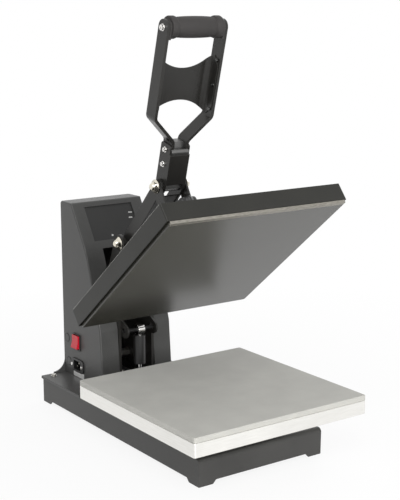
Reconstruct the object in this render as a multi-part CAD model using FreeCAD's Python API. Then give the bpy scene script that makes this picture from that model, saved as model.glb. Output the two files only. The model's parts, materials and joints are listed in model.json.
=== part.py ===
import FreeCAD, Part
import math
import os

# A clamshell heat press, standing open.
# Millimetres and degrees. X runs across the press, Y from the operator to the column, Z up.
# The origin is on the floor, under the middle of the whole press.

Vec = FreeCAD.Vector

# Layout from front to back
platen_size = 380.0
platen_to_hinge = 141.2
hinge_to_rear = 110.8

# Clearances, and how far a cutting tool runs past what it cuts
running_gap = 0.05
side_gap = 0.3
hole_gap = 0.2
slot_gap = 0.7
soft_gap = 0.3
press_fit = 0.02
past = 1.0

# Base
base_width = 276.0
base_setback = 61.5
base_rear_margin = 3.0
base_height = 49.5
base_sheet = 2.5
base_front_round = 8.0
foot_length = 30.0
skirt_rise = 7.0

# Floor plate under the column
floor_plate_depth = 164.0
floor_plate_thickness = 5.0
floor_plate_overhang = 3.0
floor_plate_corner = 3.0

# Lower platen
threading_gap = 35.0
pedestal_width = 130.0
pedestal_depth = 210.0
pedestal_wall = 5.0
pedestal_corner = 10.0
pedestal_flange = 18.0
pedestal_flange_inset = 10.0
lower_plate_thickness = 25.0
pad_thickness = 10.4
pad_corner = 4.0

# Upper platen, described in its closed place
press_gap = 0.3
heat_plate_thickness = 14.0
heat_plate_drop = 6.2
heat_plate_corner = 3.0
heat_plate_side_gap = 3.2
cover_overhang = 4.2
cover_height = 33.4
cover_sheet = 2.0
cover_corner = 2.5
element_width = 8.0
element_height = 6.0
element_runs = 6
element_side_margin = 34.0
element_end_margin = 30.0
mat_side_gap = 3.0
post_size = 12.0
post_spread = 46.0
mount_plate_size = 120.0
mount_plate_thickness = 6.0
mount_plate_corner = 12.0
swivel_size = 28.0
swivel_height = 15.0
socket_floor = 3.0
socket_height = 7.0
open_angle = 38.7
platen_lift = 4.0

# Pivots in the closed press, measured from the hinge
hinge_above_cover = 35.0
lever_pivot_forward = 49.2
lever_pivot_above = 156.2
lever_length = 175.1
link_foot_forward = 291.0
link_foot_below = 5.0
# How much longer the lever and the link are together than the closed span between their ends
toggle_slack = 6.5
# The spring's stud, from the hinge in the open press
spring_stud_forward = 54.2
spring_stud_below = 24.8

# Layers across the press, from the middle outwards
bracket_inside = 19.0
bracket_sheet = 3.0
lever_bar_thickness = 5.0
link_thickness = 4.0
arm_plate_thickness = 4.0
column_plate_inside = 36.0
column_plate_thickness = 6.0

# Pins and nuts
hinge_shaft_radius = 8.0
hinge_shaft_stickout = 9.0
pivot_pin_radius = 6.0
pivot_shoulder_radius = 9.5
pivot_hexagon_flats = 17.0
pivot_nut_flats = 19.0
pivot_nut_height = 13.0
nut_cap_share = 0.46
link_pin_radius = 5.0
link_pin_end = 1.0
spring_pin_radius = 4.0
spring_pin_end = 2.0

# Column side plates, measured from the hinge and the lever pivot
column_plate_forward = 43.2
column_plate_back = 82.8
column_plate_front_rise = 150.5
column_plate_rear_rise = 25.0
column_shoulder_back = 32.0
column_shoulder_rise = 15.0
column_flange_width = 24.0
column_flange_thickness = 6.0
column_flange_setback = 10.0
ear_radius = 18.0
spacer_flats = 16.0
low_spacer_back = 50.8
low_spacer_rise = 37.5
high_spacer_forward = 21.2
high_spacer_rise = 91.2

# Column housing, measured forward of the rear face and above the floor plate
housing_width = 168.0
housing_wall = 2.0
housing_side_round = 3.0
housing_height = 365.5
foot_forward = 159.2
crease_forward = 150.0
crease_rise = 119.5
bend_low_forward = 108.0
bend_low_rise = 250.5
bend_mid_forward = 100.2
bend_mid_rise = 270.5
console_low_forward = 90.0
console_low_rise = 289.5
console_high_forward = 43.0
channel_width = 85.0
channel_rise = 276.5
rear_panel_thickness = 3.0
rear_panel_corner = 5.0
flare_radius = 27.0
flare_foot = 3.0

# Console
console_width = 112.0
console_length = 76.0
console_slope_start = 2.0
console_margin = 4.0
console_thickness = 2.5
board_inset = 8.0
board_end_inset = 6.0
board_thickness = 1.6
board_stand = 6.0
board_stand_flats = 5.0
display_half_width = 26.0
display_length = 20.0
display_from_end = 14.0
display_gap = 1.0
board_relay_half_width = 9.0
board_relay_length = 22.0
board_relay_height = 14.4

# Solid state relay on the right wall
relay_forward = 42.0
relay_depth = 48.0
relay_rise = 12.0
relay_height = 62.0
relay_wall_gap = 2.0
rib_pitch = 8.0
rib_width = 4.0
rib_count = 6
rib_depth = 6.0

# Electrics in the left wall
switch_forward = 56.0
switch_rise = 76.5
switch_width = 29.0
switch_tall = 35.0
switch_rim = 2.1
switch_rim_height = 2.4
switch_corner = 2.0
switch_depth = 24.0
switch_floor = 2.0
switch_wall = 1.0
rocker_depth = 5.0
rocker_proud = 10.6
rocker_back = 3.5
rocker_heel = 3.0
rocker_tip = 1.0
rocker_side_gap = 0.3
rocker_end_gap = 1.6
rocker_tilt = 14.0
rocker_pin_radius = 1.5
inlet_forward = 58.3
inlet_rise = 26.5
inlet_flange_width = 50.0
inlet_flange_tall = 28.0
inlet_flange_thickness = 3.0
inlet_flange_corner = 9.0
inlet_socket_width = 27.1
inlet_socket_tall = 19.6
inlet_shell = 1.5
inlet_depth = 22.0
inlet_floor = 5.0
inlet_pin_width = 2.0
inlet_pin_tall = 4.0
inlet_pin_spread = 7.0
inlet_earth_rise = 4.0
inlet_pair_drop = 3.0
inlet_pin_setback = 2.0

# Platen arm
arm_tip_beyond = 51.8
arm_start_forward = 129.0
arm_bottom_rise = 11.0
arm_depth = 40.0
arm_nose = 12.0
arm_top_nose = 14.0
arm_boss_radius = 20.0
arm_heel_rise = 2.0
lug_radius = 14.0
lug_root = 4.0
web_rise = 30.0
web_thickness = 12.0
web_front_inset = 4.0
web_wide_beyond = 2.2
web_narrow_beyond = 34.2
web_narrow_half = 24.0
screw_radius = 8.0
screw_foot_extra = 2.0
screw_in_knob = 24.0
guide_bar_size = 9.0
guide_bar_spread_x = 16.0
guide_bar_spread_y = 24.0
guide_bar_above_web = 8.0

# Knob
knob_radius = 24.0
knob_height = 40.0
knob_neck_radius = 13.5
knob_neck = 8.0
knob_rise = 62.0
knob_lobes = 8
knob_flute_depth = 3.2

# Handle, described upright over the knee
handle_lean = 15.5
bar_width = 30.0
bar_thickness = 6.0
bar_low = 22.0
handle_half_width = 60.0
neck_height = 93.0
shoulder_height = 138.0
grip_reach = 307.0
handle_bend = 12.0
bracket_top = 86.0
bracket_side_margin = 1.0
bracket_corner = 5.0
web_top = 69.0
web_bottom = 8.0
web_fold_round = 2.8
bracket_bolt_heights = (45.0, 74.0)
bracket_bolt_radius = 3.0
bracket_nut_flats = 10.0
bracket_nut_height = 5.0
spacer_low = 51.0
spacer_high = 90.0
spacer_inset = 4.0
spacer_slope = 6.0
grip_bolt_radius = 4.0
grip_head_radius = 5.2
grip_head_height = 5.0
grip_bolt_length = 28.0
grip_core_flats = 20.0
grip_collar_radius = 20.5
grip_barrel_radius = 18.8
grip_collar_length = 13.0
grip_cap_thickness = 4.0
grip_cap_rim = 0.6
grip_cap_low = 19.0
knee_spacer_flats = 20.0
lever_bar_radius = 14.0
link_end_radius = 13.0

# Hand shield between the bars
shield_sheet = 2.0
shield_bend = 14.0
shield_front_inset = 2.0
shield_back_inset = 1.0
shield_top_mid = 227.0
shield_top_side = 254.0
shield_bottom_mid = 166.0
shield_bottom_side = 140.0
shield_slant = 18.0

# Gas spring
spring_tube_radius = 12.0
spring_tube_length = 60.0
spring_tube_end = 6.0
spring_rod_radius = 4.0
spring_foot_rise = 11.0
spring_neck = 12.0
spring_neck_radius = 5.5
spring_knuckle_radius = 11.0
spring_knuckle_half = 7.5
spring_eye_radius = 7.0
spring_eye_half = 6.0
clevis_half = 6.4
clevis_ear = 4.0
clevis_ear_radius = 8.0
clevis_base_half = 16.0
clevis_base_depth = 24.0
clevis_base_thickness = 3.0

# Worked-out places
overall_depth = platen_size + platen_to_hinge + hinge_to_rear
front = -overall_depth / 2
rear = overall_depth / 2
platen_middle = front + platen_size / 2
base_front = front + base_setback
base_rear = rear - base_rear_margin
base_mid = (base_front + base_rear) / 2
floor_top = base_height + floor_plate_thickness
plate_bottom = base_height + threading_gap
pad_bottom = plate_bottom + lower_plate_thickness
pad_top = pad_bottom + pad_thickness
heat_bottom = pad_top + press_gap
heat_top = heat_bottom + heat_plate_thickness
cover_size = platen_size + 2 * cover_overhang
cover_bottom = heat_bottom + heat_plate_drop
cover_top = cover_bottom + cover_height
heat_plate_size = cover_size - 2 * (cover_sheet + heat_plate_side_gap)
mount_top = cover_top + mount_plate_thickness
web_bottom_height = cover_top + web_rise
web_top_height = web_bottom_height + web_thickness
hinge = (front + platen_size + platen_to_hinge, cover_top + hinge_above_cover)
lever_pivot = (hinge[0] - lever_pivot_forward, hinge[1] + lever_pivot_above)
spring_stud = (hinge[0] - spring_stud_forward, hinge[1] - spring_stud_below)
lever_bar_inside = bracket_inside + bracket_sheet
lever_bar_outside = lever_bar_inside + lever_bar_thickness
link_inside = lever_bar_outside + side_gap
link_outside = link_inside + link_thickness
arm_inside = link_outside + side_gap
arm_outside = arm_inside + arm_plate_thickness
column_plate_outside = column_plate_inside + column_plate_thickness
rear_inside = rear - rear_panel_thickness
half_housing = housing_width / 2
half_bar = bar_width / 2


def block(x0, x1, y0, y1, z0, z1):
    return Part.makeBox(x1 - x0, y1 - y0, z1 - z0, Vec(x0, y0, z0))


def rod(x0, x1, place, radius):
    """A round bar across the press, from x0 to x1, at a place (y, z)."""
    return Part.makeCylinder(radius, x1 - x0, Vec(x0, place[0], place[1]), Vec(1, 0, 0))


def post(x, y, z0, z1, radius):
    return Part.makeCylinder(radius, z1 - z0, Vec(x, y, z0))


def both_sides(shape):
    return [shape, shape.mirror(Vec(0, 0, 0), Vec(1, 0, 0))]


def group(shapes):
    return Part.makeCompound(list(shapes))


def cut_all(shape, tools):
    for tool in tools:
        shape = shape.cut(tool)
    return shape


def plate_across(points, x0, x1):
    """A flat plate between x0 and x1 with an outline of (y, z) points."""
    corners = [Vec(x0, y, z) for y, z in points]
    face = Part.Face(Part.makePolygon(corners + [corners[0]]))
    return face.extrude(Vec(x1 - x0, 0, 0))


def link_bar(a, b, radius, x0, x1):
    """A bar with round ends about the places a and b."""
    along = math.atan2(b[1] - a[1], b[0] - a[0])
    out = (-math.sin(along) * radius, math.cos(along) * radius)
    tip = (math.cos(along) * radius, math.sin(along) * radius)
    a1 = Vec(x0, a[0] + out[0], a[1] + out[1])
    a2 = Vec(x0, a[0] - tip[0], a[1] - tip[1])
    a3 = Vec(x0, a[0] - out[0], a[1] - out[1])
    b1 = Vec(x0, b[0] + out[0], b[1] + out[1])
    b2 = Vec(x0, b[0] + tip[0], b[1] + tip[1])
    b3 = Vec(x0, b[0] - out[0], b[1] - out[1])
    edges = [Part.Arc(a1, a2, a3).toShape(), Part.LineSegment(a3, b3).toShape(),
             Part.Arc(b3, b2, b1).toShape(), Part.LineSegment(b1, a1).toShape()]
    return Part.Face(Part.Wire(edges)).extrude(Vec(x1 - x0, 0, 0))


def hexagon(across_flats, height):
    corner = across_flats / math.sqrt(3)
    points = [Vec(corner * math.cos(math.radians(60 * i)), corner * math.sin(math.radians(60 * i)), 0)
              for i in range(6)]
    return Part.Face(Part.makePolygon(points + [points[0]])).extrude(Vec(0, 0, height))


def revolve(points):
    """A turned piece about Z from (radius, height) points."""
    corners = [Vec(r, 0, z) for r, z in points]
    face = Part.Face(Part.makePolygon(corners + [corners[0]]))
    return face.revolve(Vec(0, 0, 0), Vec(0, 0, 1), 360)


def aim(shape, place, direction):
    """Turn a piece that was made along +Z to a direction and move it to its place."""
    turned = shape.copy()
    turned.Placement = FreeCAD.Placement(Vec(*place), FreeCAD.Rotation(Vec(0, 0, 1), Vec(*direction)))
    return turned


def hex_bar(flats, half, place):
    """A hexagonal bar across the press."""
    return aim(hexagon(flats, 2 * half), (-half, place[0], place[1]), (1, 0, 0))


def cap_nut(across_flats, height):
    """A closed nut: a hexagon with a round cap on it."""
    cap = Part.makeCylinder(across_flats * nut_cap_share, height)
    return hexagon(across_flats, height / 2).fuse(cap).removeSplitter()


def rounded(shape, radius, wanted):
    edges = [e for e in shape.Edges if wanted(e)]
    return shape.makeFillet(radius, edges)


def upright(edge):
    box = edge.BoundBox
    return box.XLength < 0.01 and box.YLength < 0.01 and box.ZLength > 1.0


def turn(shape, about, angle):
    """Turn about an axis across the press; a positive angle brings the front down."""
    turned = shape.copy()
    turned.rotate(Vec(0, about[0], about[1]), Vec(1, 0, 0), angle)
    return turned


def turn_place(place, about, angle):
    a = math.radians(angle)
    y = place[0] - about[0]
    z = place[1] - about[1]
    return (about[0] + y * math.cos(a) - z * math.sin(a), about[1] + y * math.sin(a) + z * math.cos(a))


def bearing(a, b):
    return math.degrees(math.atan2(b[1] - a[1], b[0] - a[0]))


def distance(a, b):
    return math.hypot(b[0] - a[0], b[1] - a[1])


def third_corner(a, b, from_a, from_b):
    """The corner above the line from a to b of a triangle with these two side lengths."""
    span = distance(a, b)
    along = (from_a ** 2 - from_b ** 2 + span ** 2) / (2 * span)
    off = math.sqrt(from_a ** 2 - along ** 2)
    uy = (b[0] - a[0]) / span
    uz = (b[1] - a[1]) / span
    return (a[0] + uy * along + uz * off, a[1] + uz * along - uy * off)


# The toggle linkage
link_foot_closed = (hinge[0] - link_foot_forward, hinge[1] - link_foot_below)
link_foot = turn_place(link_foot_closed, hinge, -open_angle)
link_length = distance(lever_pivot, link_foot_closed) + toggle_slack - lever_length
knee = third_corner(lever_pivot, link_foot, lever_length, link_length)
knee_shut = third_corner(lever_pivot, link_foot_closed, lever_length, link_length)
lever_swing = (bearing(lever_pivot, knee_shut) - bearing(lever_pivot, knee)) % 360
link_turn_open = bearing(knee, link_foot)
link_turn_shut = bearing(knee_shut, link_foot_closed)
link_swing = ((link_turn_shut - link_turn_open - lever_swing + 180) % 360) - 180


def opened(shape):
    return turn(shape, hinge, -open_angle)


def leaned(shape):
    return turn(shape, knee, handle_lean)


def foot_stray(share):
    """The link foot's place in the open arm, when each joint has made this share of its travel."""
    knee_now = turn_place(knee, lever_pivot, lever_swing * share)
    angle = math.radians(link_turn_open + (lever_swing + link_swing) * share)
    foot = (knee_now[0] + link_length * math.cos(angle), knee_now[1] + link_length * math.sin(angle))
    return turn_place(foot, hinge, -open_angle * share)


# The gas spring
spring_foot = (spring_stud[0], floor_top + spring_foot_rise)
spring_stud_shut = turn_place(spring_stud, hinge, open_angle)
spring_swing = bearing(spring_foot, spring_stud_shut) - bearing(spring_foot, spring_stud)
spring_reach_shut = distance(spring_foot, spring_stud_shut)
spring_stroke = distance(spring_foot, spring_stud) - spring_reach_shut
spring_tube_top = spring_stud[1] - spring_neck


def stud_stray(share):
    """The spring stud's place in the open arm, when each joint has made this share of its travel."""
    angle = math.radians(bearing(spring_foot, spring_stud) + spring_swing * share)
    reach = distance(spring_foot, spring_stud) - spring_stroke * share
    eye = (spring_foot[0] + reach * math.cos(angle), spring_foot[1] + reach * math.sin(angle))
    return turn_place(eye, hinge, -open_angle * share)


def tray_block(inset, round_radius):
    y0 = base_front + inset
    y1 = base_rear - inset
    z0 = -base_height if inset else 0.0
    z1 = base_height - inset
    x = base_width / 2 - inset
    r = round_radius
    share = 1 - math.cos(math.pi / 4)
    start = Vec(-x, y0, z1 - r)
    middle = Vec(-x, y0 + r * share, z1 - r * share)
    end = Vec(-x, y0 + r, z1)
    edges = [Part.LineSegment(Vec(-x, y0, z0), start).toShape(),
             Part.Arc(start, middle, end).toShape(),
             Part.LineSegment(end, Vec(-x, y1, z1)).toShape(),
             Part.LineSegment(Vec(-x, y1, z1), Vec(-x, y1, z0)).toShape(),
             Part.LineSegment(Vec(-x, y1, z0), Vec(-x, y0, z0)).toShape()]
    return Part.Face(Part.Wire(edges)).extrude(Vec(2 * x, 0, 0))


def skirt_gap(half_length, along_x):
    rise = skirt_rise
    points = [(-half_length, -past), (-half_length, 0.0), (-half_length + rise, rise),
              (half_length - rise, rise), (half_length, 0.0), (half_length, -past)]
    if along_x:
        corners = [Vec(p[0], base_front - past, p[1]) for p in points]
        sweep = Vec(0, base_rear - base_front + 2 * past, 0)
    else:
        corners = [Vec(-base_width, base_mid + p[0], p[1]) for p in points]
        sweep = Vec(2 * base_width, 0, 0)
    return Part.Face(Part.makePolygon(corners + [corners[0]])).extrude(sweep)


def make_base_tray():
    outer = tray_block(0.0, base_front_round)
    inner = tray_block(base_sheet, base_front_round - base_sheet)
    across = skirt_gap(base_width / 2 - foot_length, True)
    along = skirt_gap((base_rear - base_front) / 2 - foot_length, False)
    return cut_all(outer, [inner, across, along])


def make_floor_plate():
    half = base_width / 2 + floor_plate_overhang
    plate = block(-half, half, rear - floor_plate_depth, rear, base_height, floor_top)
    return rounded(plate, floor_plate_corner, upright)


def make_pedestal():
    x = pedestal_width / 2
    y = pedestal_depth / 2
    w = pedestal_wall
    tube = block(-x, x, platen_middle - y, platen_middle + y, base_height, plate_bottom)
    tube = rounded(tube, pedestal_corner, upright)
    hollow = block(-x + w, x - w, platen_middle - y + w, platen_middle + y - w,
                   base_height - past, plate_bottom + past)
    reach = y - pedestal_flange_inset
    foot = block(-x - pedestal_flange, x + pedestal_flange, platen_middle - reach, platen_middle + reach,
                 base_height, base_height + floor_plate_thickness)
    return tube.fuse(foot).removeSplitter().cut(hollow)


def platen_slab(size, z0, z1, corner):
    half = size / 2
    slab = block(-half, half, platen_middle - half, platen_middle + half, z0, z1)
    return rounded(slab, corner, upright)


def make_lower_plate():
    return platen_slab(platen_size, plate_bottom, pad_bottom, pad_corner)


def make_pad():
    return platen_slab(platen_size, pad_bottom, pad_top, pad_corner)


def make_column_plates():
    """Two plates with an ear for the lever, a welded shoulder inside the ear and a foot flange."""
    x0 = column_plate_inside
    x1 = column_plate_outside
    y0 = hinge[0] - column_plate_forward
    y1 = hinge[0] + column_plate_back
    ear = lever_pivot
    outline = [(y0, floor_top), (y0, floor_top + column_plate_front_rise),
               (ear[0] - ear_radius, ear[1]), (ear[0] + ear_radius, ear[1]),
               (hinge[0] + column_shoulder_back, hinge[1] + column_shoulder_rise),
               (y1, floor_top + column_plate_rear_rise), (y1, floor_top)]
    plate = plate_across(outline, x0, x1)
    plate = plate.fuse(rod(x0, x1, ear, ear_radius))
    flange = block(x1, x1 + column_flange_width, y0 + column_flange_setback, y1,
                   floor_top, floor_top + column_flange_thickness)
    shoulder = rod(lever_bar_outside + side_gap, x0, ear, pivot_shoulder_radius)
    plate = plate.fuse([flange, shoulder]).removeSplitter()
    tools = [rod(0, x1 + past, hinge, hinge_shaft_radius + running_gap),
             rod(0, x1 + past, ear, pivot_pin_radius + running_gap)]
    return group(both_sides(cut_all(plate, tools)))


def make_column_spacers():
    places = [(hinge[0] + low_spacer_back, floor_top + low_spacer_rise),
              (hinge[0] - high_spacer_forward, hinge[1] + high_spacer_rise)]
    return group(hex_bar(spacer_flats, column_plate_inside, place) for place in places)


def make_hinge_shaft():
    half = column_plate_outside + hinge_shaft_stickout
    return rod(-half, half, hinge, hinge_shaft_radius)


def make_lever_pivot_bolt():
    """A stepped bolt: its hexagonal middle keeps the two lever bars apart."""
    bolt = rod(-column_plate_outside, column_plate_outside, lever_pivot, pivot_pin_radius)
    middle = hex_bar(pivot_hexagon_flats, lever_bar_inside - side_gap, lever_pivot)
    return bolt.fuse(middle).removeSplitter()


def nut_pair(place, x):
    nut = cap_nut(pivot_nut_flats, pivot_nut_height)
    right = aim(nut, (x, place[0], place[1]), (1, 0, 0))
    left = aim(nut, (-x, place[0], place[1]), (-1, 0, 0))
    return group([right, left])


def make_lever_pivot_nuts():
    return nut_pair(lever_pivot, column_plate_outside)


# The side outline of the housing
housing_top = floor_top + housing_height
foot_corner = (rear - foot_forward, floor_top)
crease = (rear - crease_forward, floor_top + crease_rise)
bend_low = (rear - bend_low_forward, floor_top + bend_low_rise)
bend_mid = (rear - bend_mid_forward, floor_top + bend_mid_rise)
console_low = (rear - console_low_forward, floor_top + console_low_rise)
console_high = (rear - console_high_forward, housing_top)
slope_length = distance(console_low, console_high)
slope_y = (console_high[0] - console_low[0]) / slope_length
slope_z = (console_high[1] - console_low[1]) / slope_length


def housing_face():
    """The side outline of the housing, run on below the floor plate and behind the rear panel."""
    low = floor_top
    lean = (crease[0] - foot_corner[0]) / (crease[1] - foot_corner[1])
    start = (foot_corner[0] - lean * low, foot_corner[1] - low)
    behind = rear + floor_top
    corners = [Vec(0, y, z) for y, z in
               (start, crease, bend_low, bend_mid, console_low, console_high,
                (behind, housing_top), (behind, floor_top - low))]
    edges = [Part.LineSegment(corners[0], corners[1]).toShape(),
             Part.LineSegment(corners[1], corners[2]).toShape(),
             Part.Arc(corners[2], corners[3], corners[4]).toShape(),
             Part.LineSegment(corners[4], corners[5]).toShape(),
             Part.LineSegment(corners[5], corners[6]).toShape(),
             Part.LineSegment(corners[6], corners[7]).toShape(),
             Part.LineSegment(corners[7], corners[0]).toShape()]
    return Part.Face(Part.Wire(edges))


def on_slope(along, lift):
    """A place on the console slope, this far up it and this far out of it."""
    return (console_low[0] + slope_y * along - slope_z * lift,
            console_low[1] + slope_z * along + slope_y * lift)


def slope_block(half_width, along0, along1, lift0, lift1):
    points = [on_slope(along0, lift0), on_slope(along1, lift0),
              on_slope(along1, lift1), on_slope(along0, lift1)]
    return plate_across(points, -half_width, half_width)


def wall_block(x0, x1, middle, width, tall):
    """A block through or on the left wall: x0 and x1 are measured inwards from its outer face."""
    y, z = middle
    return block(-half_housing + x0, -half_housing + x1, y - width / 2, y + width / 2,
                 z - tall / 2, z + tall / 2)


switch_middle = (rear - switch_forward, floor_top + switch_rise)
inlet_middle = (rear - inlet_forward, floor_top + inlet_rise)
switch_well_width = switch_width - 2 * switch_rim
switch_well_tall = switch_tall - 2 * switch_rim
switch_body_width = switch_well_width + 2 * switch_wall
switch_body_tall = switch_well_tall + 2 * switch_wall
inlet_body_width = inlet_socket_width + 2 * inlet_shell
inlet_body_tall = inlet_socket_tall + 2 * inlet_shell


def make_housing():
    face = housing_face()
    outer = face.extrude(Vec(housing_width, 0, 0))
    outer.translate(Vec(-half_housing, 0, 0))
    outer = outer.common(block(-half_housing, half_housing, front, rear_inside, floor_top, housing_top))
    side_edges = []
    for edge in outer.Edges:
        box = edge.BoundBox
        at_side = box.XLength < 0.01 and abs(abs(box.Center.x) - half_housing) < 0.01
        if at_side and box.ZMax > floor_top + past and box.YMin < rear_inside - past:
            side_edges.append(edge)
    outer = outer.makeFillet(housing_side_round, side_edges)
    core = face.makeOffset2D(-housing_wall).extrude(Vec(housing_width - 2 * housing_wall, 0, 0))
    core.translate(Vec(-half_housing + housing_wall, 0, 0))
    channel = block(-channel_width / 2, channel_width / 2, front, rear_inside - past,
                    floor_top - past, floor_top + channel_rise)
    window = slope_block(console_width / 2, console_slope_start, console_slope_start + console_length,
                         -2 * housing_wall, 2 * housing_wall)
    switch_hole = wall_block(-past, housing_wall + past, switch_middle,
                             switch_body_width + hole_gap, switch_body_tall + hole_gap)
    inlet_hole = wall_block(-past, housing_wall + past, inlet_middle,
                            inlet_body_width + hole_gap, inlet_body_tall + hole_gap)
    return cut_all(outer, [core, channel, window, switch_hole, inlet_hole])


def make_rear_panel():
    """The rear panel, with its foot flared to both sides."""
    x = half_housing
    z_flare = floor_top + flare_foot
    r = flare_radius
    y = rear_inside
    corner = rear_panel_corner
    share = 1 - math.cos(math.pi / 4)
    bend = r * share
    soft = corner * share
    edges = []

    def line(a, b):
        edges.append(Part.LineSegment(Vec(a[0], y, a[1]), Vec(b[0], y, b[1])).toShape())

    def arc(a, m, b):
        edges.append(Part.Arc(Vec(a[0], y, a[1]), Vec(m[0], y, m[1]), Vec(b[0], y, b[1])).toShape())

    line((-x - r, floor_top), (x + r, floor_top))
    line((x + r, floor_top), (x + r, z_flare))
    arc((x + r, z_flare), (x + bend, z_flare + bend), (x, z_flare + r))
    line((x, z_flare + r), (x, housing_top - corner))
    arc((x, housing_top - corner), (x - soft, housing_top - soft), (x - corner, housing_top))
    line((x - corner, housing_top), (-x + corner, housing_top))
    arc((-x + corner, housing_top), (-x + soft, housing_top - soft), (-x, housing_top - corner))
    line((-x, housing_top - corner), (-x, z_flare + r))
    arc((-x, z_flare + r), (-x - bend, z_flare + bend), (-x - r, z_flare))
    line((-x - r, z_flare), (-x - r, floor_top))
    return Part.Face(Part.Wire(edges)).extrude(Vec(0, rear_panel_thickness, 0))


def make_console_panel():
    start = console_slope_start - console_slope_start / 4
    end = console_slope_start + console_length + console_margin
    return slope_block(console_width / 2 + console_margin, start, end,
                       -housing_wall - console_thickness, -housing_wall)


def make_control_board():
    """The board under the console panel, on four hexagonal stands, with the display and a relay."""
    low = -housing_wall - console_thickness
    start = console_slope_start + board_end_inset
    end = console_slope_start + console_length - board_end_inset
    face = low - board_stand
    back = face - board_thickness
    board = slope_block(console_width / 2 - board_inset, start, end, back, face)
    stand_x = console_width / 2 - board_inset - board_stand
    pieces = [slope_block(display_half_width, end - display_from_end - display_length, end - display_from_end,
                          face, low - display_gap),
              slope_block(board_relay_half_width, start + board_inset,
                          start + board_inset + board_relay_length, back - board_relay_height, back)]
    for side in (-1, 1):
        for along in (start + board_stand, end - board_stand):
            foot = on_slope(along, face)
            stand = hexagon(board_stand_flats, board_stand)
            pieces.append(aim(stand, (side * stand_x, foot[0], foot[1]), (0, -slope_z, slope_y)))
    return board.fuse(pieces).removeSplitter()


def make_solid_state_relay():
    """A ribbed block on the inner face of the right wall."""
    y0 = rear - relay_forward - relay_depth / 2
    z0 = floor_top + relay_rise
    x0 = column_plate_outside + column_flange_width + relay_wall_gap
    x1 = half_housing - housing_wall
    body = block(x0, x1, y0, y0 + relay_depth, z0, z0 + relay_height)
    grooves = [block(x0 - past, x0 + rib_depth, y0 + rib_width + i * rib_pitch, y0 + (i + 1) * rib_pitch,
                     z0 - past, z0 + relay_height + past) for i in range(rib_count - 1)]
    return cut_all(body, grooves)


def along_wall(edge):
    box = edge.BoundBox
    return box.YLength < 0.01 and box.ZLength < 0.01


def make_power_inlet():
    flange = wall_block(-inlet_flange_thickness, 0, inlet_middle, inlet_flange_width, inlet_flange_tall)
    flange = rounded(flange, inlet_flange_corner, along_wall)
    body = wall_block(0, inlet_depth, inlet_middle, inlet_body_width, inlet_body_tall)
    cavity = wall_block(-inlet_flange_thickness - past, inlet_depth - inlet_floor, inlet_middle,
                        inlet_socket_width, inlet_socket_tall)
    return flange.fuse(body).removeSplitter().cut(cavity)


def make_inlet_pins():
    y, z = inlet_middle
    places = [(y, z + inlet_earth_rise), (y - inlet_pin_spread, z - inlet_pair_drop),
              (y + inlet_pin_spread, z - inlet_pair_drop)]
    reach = (inlet_pin_setback, inlet_depth - inlet_floor)
    return group(wall_block(*reach, place, inlet_pin_width, inlet_pin_tall)
                 for place in places)


def make_switch_bezel():
    rim = wall_block(-switch_rim_height, 0, switch_middle, switch_width, switch_tall)
    rim = rounded(rim, switch_corner, along_wall)
    body = wall_block(0, switch_depth, switch_middle, switch_body_width, switch_body_tall)
    well = wall_block(-switch_rim_height - past, switch_depth - switch_floor, switch_middle,
                      switch_well_width, switch_well_tall)
    start = Vec(-half_housing + rocker_depth, switch_middle[0] - switch_well_width / 2, switch_middle[1])
    pin = Part.makeCylinder(rocker_pin_radius, switch_well_width, start, Vec(0, 1, 0))
    return rim.fuse(body).removeSplitter().cut(well).fuse(pin)


def make_switch_rocker():
    """A rocker with two shallow faces that meet over its axle, its upper end pressed in."""
    y, z = switch_middle
    x = -half_housing + rocker_depth
    half_width = switch_well_width / 2 - rocker_side_gap
    t = switch_well_tall / 2 - rocker_end_gap
    rise = t * math.tan(math.radians(rocker_tilt / 2))
    shoulder = t - rocker_tip
    side = [Vec(x - rocker_proud - rise, 0, z - t), Vec(x - rocker_proud, 0, z),
            Vec(x - rocker_proud - rise, 0, z + t), Vec(x - rocker_tip, 0, z + shoulder),
            Vec(x + rocker_back, 0, z + rocker_heel), Vec(x + rocker_back, 0, z - rocker_heel),
            Vec(x - rocker_tip, 0, z - shoulder)]
    body = Part.Face(Part.makePolygon(side + [side[0]])).extrude(Vec(0, 2 * half_width, 0))
    body.translate(Vec(0, y - half_width, 0))
    bore = Part.makeCylinder(rocker_pin_radius + running_gap, switch_width, Vec(x, y - switch_width / 2, z),
                             Vec(0, 1, 0))
    body = body.cut(bore)
    body.rotate(Vec(x, y, z), Vec(0, 1, 0), rocker_tilt / 2)
    return body


# The platen arm, in its closed place
arm_tip = platen_middle - arm_tip_beyond
arm_bottom = cover_top + arm_bottom_rise
arm_top = arm_bottom + arm_depth


def make_arm_plates():
    x0 = arm_inside
    x1 = arm_outside
    y, z = hinge
    outline = [(y - arm_start_forward, arm_bottom), (arm_tip + arm_nose, arm_bottom),
               (arm_tip, arm_bottom + arm_nose), (arm_tip, arm_top - arm_nose),
               (arm_tip + arm_top_nose, arm_top), (y, z + arm_boss_radius),
               (y, z - arm_boss_radius + arm_heel_rise)]
    plate = plate_across(outline, x0, x1)
    plate = plate.fuse(rod(x0, x1, hinge, arm_boss_radius))
    lug = link_bar(spring_stud_shut, (y - lug_root, z - lug_root), lug_radius, x0, x1)
    plate = opened(plate.fuse(lug).removeSplitter())
    tools = [rod(x0 - past, x1 + past, hinge, hinge_shaft_radius + running_gap),
             link_bar(spring_stud, stud_stray(0.5), spring_pin_radius + slot_gap, x0 - past, x1 + past),
             link_bar(link_foot, foot_stray(0.5), link_pin_radius + slot_gap, x0 - past, x1 + past)]
    return group(both_sides(cut_all(plate, tools)))


def guide_bars(half, z0, z1):
    """Square bars, one ahead of the screw and one behind it."""
    bars = []
    for side in (-1, 1):
        x = side * guide_bar_spread_x
        y = platen_middle + side * guide_bar_spread_y
        bars.append(block(x - half, x + half, y - half, y + half, z0, z1))
    return bars


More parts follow.
